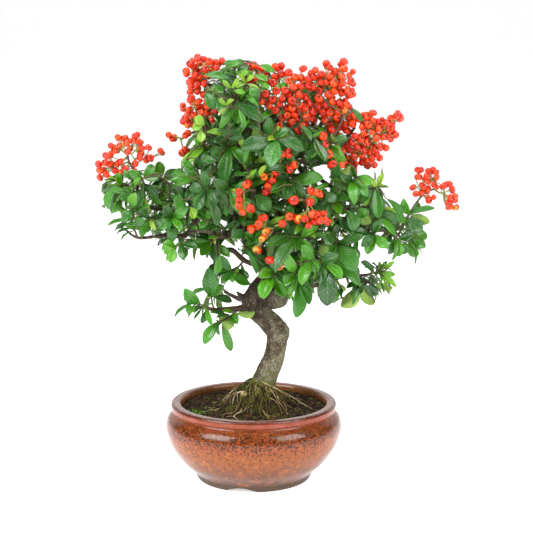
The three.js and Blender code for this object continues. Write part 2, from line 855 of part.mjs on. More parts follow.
function makePot() {
  const profile = [
    [FOOT_INNER_RADIUS, 0],
    ...POT_OUTSIDE,
    ...POT_INSIDE,
    [DRAIN_RADIUS, FOOT_HEIGHT],
    [FOOT_INNER_RADIUS + 1, FOOT_HEIGHT],
    [FOOT_INNER_RADIUS, 0],
  ];
  const arch = new THREE.Shape()
    .moveTo(-ARCH_WIDTH / 2, -1)
    .lineTo(ARCH_WIDTH / 2, -1)
    .lineTo(ARCH_WIDTH / 2, 0)
    .quadraticCurveTo(0, 2 * ARCH_HEIGHT, -ARCH_WIDTH / 2, 0);
  const arches = ARCH_ANGLES.map((angle) =>
    solidOf(
      new THREE.ExtrudeGeometry(arch, { depth: ARCH_LENGTH, bevelEnabled: false, curveSegments: 6 })
        .rotateX(Math.PI / 2)
        .translate(0, -ARCH_START, 0)
        .rotateZ(THREE.MathUtils.degToRad(angle + 90)),
    ),
  );
  return wasm.Manifold.difference([solidOf(turned(profile, POT_SIDES)), ...arches]);
}

// The crown is a cone whose skirt is drawn out in ridges, one for each of its roots.
function makeCrown(grow) {
  const profile = [[0, CROWN_BOTTOM - grow]];
  profile.push([CROWN_PROFILE[0][0] + grow, CROWN_BOTTOM - grow]);
  CROWN_PROFILE.forEach(([radius, height]) => profile.push([radius + grow, height + grow]));
  profile.push([0, CROWN_PROFILE.at(-1)[1] + grow]);
  const crown = turned(profile, CROWN_SIDES);
  const point = crown.getAttribute("position");
  for (let i = 0; i < point.count; i++) {
    const angle = Math.atan2(point.getY(i), point.getX(i));
    const radius = Math.hypot(point.getX(i), point.getY(i));
    const skirt = THREE.MathUtils.smoothstep(radius, ...CROWN_SKIRT);
    let widening = 1;
    CROWN_RIDGES.forEach(([count, share, phase]) => {
      widening += skirt * share * Math.sin(count * angle + phase);
    });
    point.setX(i, point.getX(i) * widening + CROWN_PLACE[0]);
    point.setY(i, point.getY(i) * widening + CROWN_PLACE[1]);
  }
  return solidOf(crown);
}

// Where the roots are grown, for cutting, they also run on down their slope.
function makeRoots(grow) {
  const roots = [];
  for (let i = 0; i < ROOT_COUNT; i++) {
    const angle = (2 * Math.PI * (i + ROOT_UNEVENNESS * Math.sin(5 * i))) / ROOT_COUNT;
    const centres = ROOT_ROWS.map(([distance, height], k) => {
      const turn = angle + ROOT_SWAY * k * Math.sin(3 * i + k);
      const extra = k === ROOT_ROWS.length - 1 ? 2 * grow : 0;
      const reach = distance + extra;
      return new THREE.Vector3(
        CROWN_PLACE[0] + reach * Math.cos(turn),
        CROWN_PLACE[1] + reach * Math.sin(turn),
        height - ROOT_SLOPE * extra,
      );
    });
    const widen = grow / Math.cos(Math.PI / ROOT_SIDES);
    const radii = ROOT_ROWS.map(([, , radius]) => radius + widen);
    roots.push(rod(centres, radii, ROOT_SIDES));
  }
  return roots;
}

function makeWood(grow) {
  return wasm.Manifold.union([
    branch(TRUNK, TRUNK_SIDES, grow),
    branch(STUB, TRUNK_SIDES, grow),
    makeCrown(grow),
    ...makeRoots(grow),
    ...Object.values(BRANCHES).map((rows) => branch(rows, BRANCH_SIDES, grow)),
  ]);
}

function makeSoil(wood) {
  const profile = [
    [0, SOIL_BOTTOM],
    [SOIL_BOTTOM_RADIUS, SOIL_BOTTOM],
  ];
  const wall = POT_INSIDE.filter(([, height]) => height < SOIL_TOP && height > SOIL_BOTTOM);
  wall.reverse().forEach(([radius, height]) => profile.push([radius - SOIL_WALL_CLEARANCE, height]));
  profile.push([SOIL_TOP_RADIUS, SOIL_TOP]);
  profile.push([SOIL_HEAP_RADIUS, SOIL_TOP + SOIL_HEAP]);
  profile.push([0, SOIL_TOP + SOIL_HEAP]);
  const soil = turned(profile, SOIL_SIDES);
  const point = soil.getAttribute("position");
  for (let i = 0; i < point.count; i++) {
    const [x, y, z] = [point.getX(i), point.getY(i), point.getZ(i)];
    const wave = SOIL_WAVE * Math.sin(x / SOIL_WAVE_RUNS[0]) * Math.cos(y / SOIL_WAVE_RUNS[1]);
    if (z > SOIL_TOP + SOIL_HEAP / 2) point.setZ(i, z + wave);
  }
  return solidOf(soil).subtract(wood);
}

// Parts of the plant that are already in place, for bending the next ones clear of them.
const placed = [];

function isClear(solid, isIgnored) {
  const box = solid.boundingBox();
  return placed.every((other) => {
    if (isIgnored(other)) return true;
    for (let axis = 0; axis < 3; axis++) {
      if (other.box.min[axis] > box.max[axis]) return true;
      if (other.box.max[axis] < box.min[axis]) return true;
    }
    return other.solid.intersect(solid).isEmpty();
  });
}

function keep(solid, node, isTwig) {
  placed.push({ solid, node, isTwig, box: solid.boundingBox() });
  return solid;
}

// Makes a leaf or a berry with the first bend that keeps it clear of other nodes and, past its
// root, of its neighbours on the same twig; else clear of other nodes alone; or not at all.
function bentClear(make, node) {
  const inNode = (other) => other.node === node;
  const onTwig = (other) => other.node === node && other.isTwig;
  const clearOfNodes = BENDS.filter((bend) => isClear(make(bend, CLEARANCE, false), inNode));
  const free = clearOfNodes.find((bend) => isClear(make(bend, 0, true), onTwig));
  const bend = free ?? clearOfNodes[0];
  return bend === undefined ? [] : [keep(make(bend, 0, false), node, false)];
}

function twigCentres(places, bend) {
  return places.map(([across, height, depth], i) =>
    place([across, height, depth + (bend * i) / (places.length - 1)]),
  );
}

function makeTwig(places, [thick, thin], node) {
  const shift = BENDS.find((bend) => {
    const centres = twigCentres(places, bend).slice(1);
    const grown = rod(centres, centres.map(() => thick + CLEARANCE), TWIG_SIDES);
    return isClear(grown, (other) => other.node === node);
  });
  if (shift === undefined) throw new Error(node + " crosses another piece");
  const centres = twigCentres(places, shift);
  const last = centres.length - 1;
  const radii = centres.map((_, i) => thick + ((thin - thick) * i) / last);
  return { centres, solid: keep(rod(centres, radii, TWIG_SIDES), node, true) };
}

function nearestOnTwig(centres, point) {
  let best = null;
  for (let i = 1; i < centres.length; i++) {
    const near = new THREE.Line3(centres[i - 1], centres[i]).closestPointToPoint(
      point,
      true,
      new THREE.Vector3(),
    );
    if (!best || near.distanceTo(point) < best.distanceTo(point)) best = near;
  }
  return best;
}

// A blade from its foot to its tip, with its upper side towards face.
function blade(foot, tip, width, face, grow) {
  const length = tip.distanceTo(foot);
  const along = tip.clone().sub(foot).normalize();
  const side = along.clone().cross(face).normalize();
  const up = side.clone().cross(along);
  const half = BLADE_THICKNESS / 2 + grow;
  const positions = [];
  const addCorner = (share, across) => {
    const middle = foot
      .clone()
      .addScaledVector(along, length * share)
      .addScaledVector(side, across)
      .addScaledVector(up, 4 * BLADE_ARCH * length * share * (1 - share));
    positions.push(...middle.clone().addScaledVector(up, half));
    positions.push(...middle.addScaledVector(up, -half));
  };
  addCorner(0, 0);
  [BLADE_WIDEST, BLADE_SHOULDER].forEach(([share, wide]) => {
    const reach = (wide * width) / 2 + grow;
    addCorner(share, -reach);
    addCorner(share, reach);
  });
  addCorner(1 + grow / length, 0);
  // Upper corners are even, and the lower one of each pair is the next number.
  const upper = [[0, 4, 2], [2, 4, 8], [2, 8, 6], [6, 8, 10]];
  const rim = [0, 2, 6, 10, 8, 4];
  const triangles = [];
  upper.forEach(([a, b, c]) => triangles.push(a, b, c, a + 1, c + 1, b + 1));
  rim.forEach((a, i) => {
    const b = rim[(i + 1) % rim.length];
    triangles.push(a, b, b + 1, a, b + 1, a + 1);
  });
  return solidFrom(positions, triangles);
}

function makeShoot({ twig, leaves }, node) {
  const { centres, solid } = makeTwig(twig, TWIG_RADII, node);
  const pieces = [solid];
  leaves.forEach(([footAcross, footHeight, tipAcross, tipHeight, width, tipDepth]) => {
    const guess = place([footAcross, footHeight, twig.at(-1)[2]]);
    const foot = nearestOnTwig(centres, guess);
    const make = (bend, grow, isRootless) => {
      const tip = place([tipAcross, tipHeight, foot.y + tipDepth + bend]);
      const start = isRootless ? foot.clone().lerp(tip, ROOT_SHARE) : foot;
      return blade(start, tip, width, TOWARDS_FRONT, grow);
    };
    pieces.push(...bentClear(make, node));
  });
  return pieces;
}

// A repeatable series of numbers from 0 to 1.
function randomSeries(seed) {
  let state = seed;
  return () => {
    state = (state + 0x6d2b79f5) | 0;
    let mix = Math.imul(state ^ (state >>> 15), 1 | state);
    mix = (mix + Math.imul(mix ^ (mix >>> 7), 61 | mix)) ^ mix;
    return ((mix ^ (mix >>> 14)) >>> 0) / 4294967296;
  };
}

function makeRingShoot([start, end, count], node, seed) {
  const random = randomSeries(seed);
  const draw = ([least, spread]) => least + spread * random();
  const half = start.map((value, axis) => (value + end[axis]) / 2);
  const middle = [half[0], half[1] + RING_RISE, half[2]];
  const { centres, solid } = makeTwig([start, middle, end], RING_RADII, node);
  const pieces = [solid];
  const along = centres[2].clone().sub(centres[0]).normalize();
  const side = along.clone().cross(UP).normalize();
  const over = side.clone().cross(along);
  for (let i = 0; i < count; i++) {
    const share = RING_START + ((1 - RING_START) * i) / (count - 1);
    const length = draw(RING_LENGTH);
    const width = draw(RING_WIDTH);
    const droop = draw(RING_DROOP);
    const turn = i * TURN_OF_A_LEAF + seed;
    const foot = nearestOnTwig(centres, centres[0].clone().lerp(centres[2], share));
    const out = side.clone().multiplyScalar(Math.cos(turn)).addScaledVector(over, Math.sin(turn));
    const outwards = new THREE.Vector3(foot.x, foot.y, 0).normalize();
    const face = outwards.addScaledVector(UP, RING_OUTWARDS);
    const make = (bend, grow, isRootless) => {
      const way = out.clone().multiplyScalar(RING_OUTWARDS).addScaledVector(along, RING_FORWARDS);
      way.z -= droop;
      way.y += bend * RING_BEND;
      const tip = foot.clone().addScaledVector(way.normalize(), length);
      const start = isRootless ? foot.clone().lerp(tip, ROOT_SHARE) : foot;
      return blade(start, tip, width, face, grow);
    };
    pieces.push(...bentClear(make, node));
  }
  return pieces;
}

// A faceted berry whose face towards the foot is drawn out into a three-sided stem.
function stemmedBerry(centre, foot, radius, stemRadius) {
  const ball = new THREE.IcosahedronGeometry(radius, 0);
  ball.deleteAttribute("normal");
  ball.deleteAttribute("uv");
  const merged = mergeVertices(ball, MERGING);
  const corners = [];
  for (let i = 0; i < merged.getAttribute("position").count; i++) {
    corners.push(new THREE.Vector3().fromBufferAttribute(merged.getAttribute("position"), i));
  }
  const faces = [...merged.index.array];
  const opened = faces.slice(0, 3);
  const faceMiddle = new THREE.Vector3();
  opened.forEach((corner) => faceMiddle.addScaledVector(corners[corner], 1 / 3));
  const towardsFoot = foot.clone().sub(centre).normalize();
  const turn = new THREE.Quaternion().setFromUnitVectors(
    faceMiddle.clone().normalize(),
    towardsFoot,
  );
  const ends = opened.map((corner) =>
    corners[corner]
      .clone()
      .sub(faceMiddle)
      .setLength(stemRadius)
      .applyQuaternion(turn)
      .add(foot),
  );
  const positions = corners.flatMap((corner) => [...corner.applyQuaternion(turn).add(centre)]);
  ends.forEach((end) => positions.push(...end));
  const [first, second, third] = [0, 1, 2].map((i) => corners.length + i);
  const triangles = [...faces.slice(3), first, second, third];
  opened.forEach((a, i) => {
    const b = opened[(i + 1) % 3];
    const endA = corners.length + i;
    const endB = corners.length + ((i + 1) % 3);
    triangles.push(a, b, endB, a, endB, endA);
  });
  return solidFrom(positions, triangles);
}

function berryAlone(centre, radius) {
  return solidOf(new THREE.IcosahedronGeometry(radius, 0).translate(...centre));
}

function makeBunch({ stalk, depth, berries }, node) {
  const { centres, solid } = makeTwig(stalk, STALK_RADII, node);
  const route = new THREE.CatmullRomCurve3(centres);
  const pieces = [solid];
  const rising = [...berries].sort((a, b) => a[1] - b[1]);
  rising.forEach(([across, height], i) => {
    const spread = 2 * ((i * GOLDEN_SHARE + GOLDEN_START) % 1) - 1;
    const foot = route.getPoint(STEM_START + ((1 - STEM_START) * (i + 0.5)) / berries.length);
    const make = (bend, grow, isRootless) => {
      const centre = place([across, height, depth[0] + depth[1] * spread + BERRY_BEND * bend]);
      if (isRootless) return berryAlone(centre, BERRY_RADIUS + grow);
      return stemmedBerry(centre, foot, BERRY_RADIUS + grow, STEM_RADIUS + grow);
    };
    pieces.push(...bentClear(make, node));
  });
  return pieces;
}

const plant = new THREE.Group();

// True where no two edges of the solid lie in one place, as they do where a sliver has folded shut.
function hasSingleEdges(solid) {
  const mesh = solid.getMesh();
  const keys = [];
  for (let i = 0; i < mesh.vertProperties.length; i += 3) {
    keys.push([0, 1, 2].map((axis) => mesh.vertProperties[i + axis].toFixed(3)).join());
  }
  const edges = new Set();
  for (let i = 0; i < mesh.triVerts.length; i += 3) {
    const corners = [0, 1, 2].map((k) => keys[mesh.triVerts[i + k]]);
    if (new Set(corners).size < 3) continue;
    for (let k = 0; k < 3; k++) {
      const edge = corners[k] + " " + corners[(k + 1) % 3];
      if (edges.has(edge)) return false;
      edges.add(edge);
    }
  }
  return true;
}

function seamless(solid) {
  const whole = largestBody(solid).asOriginal();
  const tries = SEAM_TOLERANCES.map((tolerance) => largestBody(whole.simplify(tolerance)));
  return tries.find(hasSingleEdges) ?? tries[0];
}

function add(name, solid, material) {
  const geometry = geometryOf(solid);
  const mesh = new THREE.Mesh(geometry, new THREE.MeshStandardMaterial(MATERIALS[material]));
  mesh.name = name;
  plant.add(mesh);
}

const wood = seamless(makeWood(0));
const woodCutter = makeWood(CLEARANCE);

add("pot", makePot(), "pot");
add("soil", makeSoil(makeWood(SOIL_CLEARANCE)), "soil");
add("trunk", wood, "wood");

const fused = {};
Object.entries(BUNCHES).forEach(([name, bunch]) => {
  fused["berries_" + name] = makeBunch(bunch, "berries_" + name);
});
keep(wood, "trunk", false);
Object.entries(SHOOTS).forEach(([name, shoot]) => {
  fused["shoot_" + name] = makeShoot(shoot, "shoot_" + name);
});
Object.entries(RING_SHOOTS).forEach(([name, rows], i) => {
  fused["shoot_" + name] = makeRingShoot(rows, "shoot_" + name, i + 1);
});
Object.entries(fused).forEach(([name, pieces]) => {
  const body = seamless(wasm.Manifold.union(pieces).subtract(woodCutter));
  add(name, body, name.startsWith("berries") ? "berry" : "leaf");
});

const bounds = new THREE.Box3().setFromObject(plant);
const middle = bounds.getCenter(new THREE.Vector3());
plant.position.set(-middle.x, -middle.y, -bounds.min.z);

export default plant;
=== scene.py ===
import math

import bpy
import numpy as np
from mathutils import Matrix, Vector, noise
from mathutils.bvhtree import BVHTree


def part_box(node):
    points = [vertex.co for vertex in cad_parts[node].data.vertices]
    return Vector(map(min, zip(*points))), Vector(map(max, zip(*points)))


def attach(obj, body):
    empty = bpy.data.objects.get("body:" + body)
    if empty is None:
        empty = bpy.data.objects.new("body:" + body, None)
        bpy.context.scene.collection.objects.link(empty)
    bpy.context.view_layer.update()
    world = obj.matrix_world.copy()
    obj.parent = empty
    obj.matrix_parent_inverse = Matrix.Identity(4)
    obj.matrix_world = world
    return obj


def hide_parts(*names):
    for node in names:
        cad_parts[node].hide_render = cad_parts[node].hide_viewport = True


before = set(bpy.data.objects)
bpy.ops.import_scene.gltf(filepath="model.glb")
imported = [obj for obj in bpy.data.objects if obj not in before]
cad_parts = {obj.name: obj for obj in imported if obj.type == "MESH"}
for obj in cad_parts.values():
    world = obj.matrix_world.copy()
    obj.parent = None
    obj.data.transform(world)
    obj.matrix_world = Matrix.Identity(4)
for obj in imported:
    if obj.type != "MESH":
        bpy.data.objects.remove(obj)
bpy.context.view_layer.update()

# Sizes below are in millimetres, and build() turns them into metres.
# Places on the plant are given as they are seen from in front, as (across, height, depth):
# across and height on the upright plane through the pot's axis, and depth behind that plane.
MM = 0.001

# Camera: its place, how far it looks down, in radians, and its lens.
EYE_ACROSS = 10.9
EYE_HEIGHT = 386
EYE_DISTANCE = 1219.6
CAMERA_PITCH = 0.166
CAMERA_LENS = 99.61
CAMERA_SENSOR = 36

pot_low, pot_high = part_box("pot")
POT_AXIS = Vector(((pot_low.x + pot_high.x) / 2, (pot_low.y + pot_high.y) / 2, 0))

# Pot, (radius, height) from the foot ring up the outside, over the lip and down the inside.
POT_SIDES = 180
FOOT_HEIGHT = 4.8
FOOT_INNER_RADIUS = 39
DRAIN_RADIUS = 7
POT_FOOT = (
    (39.6, 0.5), (40.4, 0), (46.8, 0), (47.6, 0.5), (48.4, 1.6), (49.2, 3.6), (49.6, 4.6))
POT_BELLY = (
    (49.9, 5.2), (50.4, 6), (53.9, 9.7), (62.2, 17.8), (70.5, 30), (74, 40), (74.8, 47), (72.8, 53.5),
    (68, 58.6))
POT_LIP = (
    (68.1, 59.2), (69.8, 60.2), (70.3, 61.8), (70.3, 64), (69.6, 65.5), (68, 66), (63.6, 66),
    (62.3, 65.3))
POT_INSIDE = ((61.8, 63.5), (61.6, 60), (64.5, 55), (66.4, 50), (64, 31), (57, 20), (44, 11), (7, 10))
ARCH_WIDTH = 26
ARCH_HEIGHT = 3.4
ARCH_ANGLES = (-102, 18, 138)

# Soil: its top is a disc of rings, and below it (radius, height) down to the middle of its base.
SOIL_RADIUS = 61.6
SOIL_HEIGHT = 60.6
SOIL_SIDES = 150
SOIL_RINGS = 52
SOIL_UNDER = ((64, 54), (64, 36), (50, 14))
SOIL_BASE = 12
# The mound of soil and roots round the trunk's foot: its middle, and (radius, height) down its side.
CROWN_PLACE = (1, -2)
CROWN_PROFILE = ((0, 86), (9, 83), (14, 79.5), (22, 73.5), (29, 65.5), (36, 60), (44, 56))

# Wood, each row (across, height, depth, radius).
TRUNK = (
    (8.5, 60, 0, 11), (8.5, 82, 0, 10.3), (11.6, 90.8, 0, 9.8), (16.3, 101, 0, 9.2), (18.7, 110, 0, 8.7),
    (20, 119.7, 0, 9.3), (20.6, 125.8, 0, 10.2), (15.8, 131.6, 0, 9.4), (9.1, 138.5, 0, 9),
    (1.5, 146, 0, 9.6), (0, 152.5, 0, 10.4), (4.5, 161, 0, 9.2), (12, 173, 1, 8), (9, 185, 1, 7),
    (2, 197, 0, 6.5), (-6, 209, 0, 6), (-13, 226, 0, 5.5), (-14, 243, 0, 5), (-10, 258, 0, 4.5),
    (-8, 275, 0, 4), (-12, 295, 0, 3.3), (-17, 318, 0, 2.4), (-18, 331, 0, 1.6))
STUB = (
    (6, 151, 1, 8), (14, 153.5, -4, 8.4), (20, 154.5, -8, 8.7), (24.5, 155, -11, 7.4),
    (26.5, 155, -12.5, 4.6))
SCAR = ((-0.5, 145, -7.5, 1), (2, 145.3, -9.3, 1.3), (7, 146.3, -9.6, 1.2), (11, 147.5, -8.5, 0.9))
BRANCHES = {
    "deadSnag": (
        (-5, 153, 0, 3), (-10, 156, -2, 2.2), (-14, 160, -3, 1)),
    "lowLeft": (
        (-2, 147, 0, 3.2), (-16, 145.5, -6, 2.6), (-33, 144.5, -12, 2), (-37, 146, -14, 1.4)),
    "longLeft": (
        (-8, 213, 0, 4.2), (-11, 213, -12, 3.9), (-28, 207, -24, 3.2), (-38, 212, -27, 3),
        (-53, 212, -30, 2.7), (-58, 207, -31, 2.5), (-72, 208, -32, 2.2), (-92, 206, -34, 1.9),
        (-99, 207, -35, 1.6), (-106, 212, -36, 1.2), (-112, 215.5, -37, 0.8)),
    "midLeft": (
        (-47, 213, -28.5, 2.3), (-50, 222, -26, 2.1), (-58, 227, -22, 1.9), (-70, 230, -20, 1.8),
        (-84, 231, -18, 1.7), (-95, 240, -18, 1.5), (-97, 258, -18, 1.2), (-99.5, 265, -18, 1)),
    "highLeft": (
        (-14, 243, 0, 3), (-30, 246, 8, 2.6), (-56, 246, 14, 2), (-66, 248, 16, 1.6),
        (-74, 252, 17, 1.1)),
    "upLeft": (
        (-9, 270, 0, 2.8), (-27, 285, -6, 2.2), (-35, 294, -9, 1.8), (-40, 299, -10, 1.5),
        (-46, 304, -12, 1.1)),
    "topLeft": (
        (-17, 320, 0, 1.9), (-27, 329, 3, 1.5), (-38, 334, 4, 1.2), (-44, 338, 4, 0.9)),
    "top": (
        (-17, 322, 0, 1.7), (-10, 334, 2, 1.3), (-5, 342, 3, 1)),
    "highRight": (
        (-15, 312, 0, 2.4), (-8, 305, 6, 2.3), (10, 300, 10, 2.2), (30, 293, 12, 2), (55, 295, 12, 1.8),
        (75, 290, 10, 1.5), (84, 298, 8, 1.2)),
    "mainRight": (
        (2, 199, 0, 5), (20, 216, -6, 4.2), (41, 216, -10, 3.6), (58, 217, -12, 3.1), (75, 222, -14, 2.7),
        (95, 216, -14, 2.2), (103, 212, -13, 2), (115, 212, -12, 1.7), (124, 206, -12, 1.3),
        (128, 205, -12, 1)),
    "upperRight": (
        (20, 216, -6, 2.8), (24, 236, -2, 2.5), (41, 233, 4, 2.2), (58, 232, 8, 2), (75, 230, 11, 1.6),
        (95, 232, 13, 1)),
    "midRight": (
        (-10, 258, 0, 3), (10, 258, -5, 2.6), (22, 264, -8, 2.3), (35, 270, -10, 2), (50, 268, -10, 1.7),
        (66, 270, -10, 1.2)),
    "forkRight": (
        (35, 270, -10, 1.8), (43, 258, -14, 1.8), (55, 255, -16, 1.7), (70, 247, -17, 1.5),
        (100, 245, -15, 1)),
    "lowRight": (
        (24, 156, -2, 2.8), (35, 165, -6, 2.3), (55, 166, -9, 1.9), (75, 173, -12, 1.5),
        (90, 174, -14, 1.3), (98, 175, -15, 1)),
    "knotLeft": (
        (8, 183, 0, 2.8), (0, 184, -9, 2.4), (-8, 187, -11, 2.2), (-17, 195, -12, 2),
        (-24, 196, -13, 1.5)),
    "frontHub": (
        (-13, 228, -2, 2.8), (-7, 233, -22, 2.2), (-1, 240, -42, 1.7), (1, 246, -56, 1.2)),
    "frontRight": (
        (20, 216, -6, 2.5), (20, 213, -24, 1.9), (18, 211, -42, 1.3)),
    "frontFar": (
        (23, 234, -2, 2.2), (32, 240, -24, 1.7), (38, 241, -44, 1.2)),
    "frontHigh": (
        (-12, 292, -1, 2.2), (-6, 296, -20, 1.6), (2, 297, -38, 1.1)),
    "frontLeft": (
        (-14, 243, -1, 2.4), (-24, 246, -22, 1.8), (-33, 244, -42, 1.2)),
    "frontLow": (
        (5, 191, -2, 2.6), (14, 188, -22, 2.1), (28, 186, -40, 1.6), (40, 184, -52, 1.1)),
    "backLow": (
        (10, 180, 2, 3), (8, 188, 25, 2.5), (16, 196, 48, 2), (26, 200, 66, 1.2)),
    "backLeft": (
        (-7, 212, 2, 3.2), (-22, 222, 26, 2.6), (-42, 228, 46, 2), (-62, 228, 58, 1.2)),
    "backMiddle": (
        (-14, 240, 2, 3), (-4, 252, 28, 2.4), (6, 262, 52, 1.8), (12, 264, 72, 1.2)),
    "backUpLeft": (
        (-11, 262, 1, 2.8), (-22, 276, 24, 2.1), (-33, 285, 44, 1.6), (-38, 288, 56, 1.1)),
    "backUpRight": (
        (-8, 276, 1, 2.6), (12, 288, 24, 2), (32, 298, 42, 1.5), (46, 302, 54, 1.1)),
    "backRight": (
        (41, 216, -10, 2.6), (52, 224, 16, 2.2), (66, 228, 38, 1.7), (80, 230, 54, 1.1)),
    "lowBackLeft": (
        (0, 152, 3, 2.6), (-12, 154, 22, 2), (-24, 160, 38, 1.2)),
    "lowBackRight": (
        (8, 166, 3, 2.4), (24, 168, 24, 1.8), (42, 170, 38, 1.1)),
}
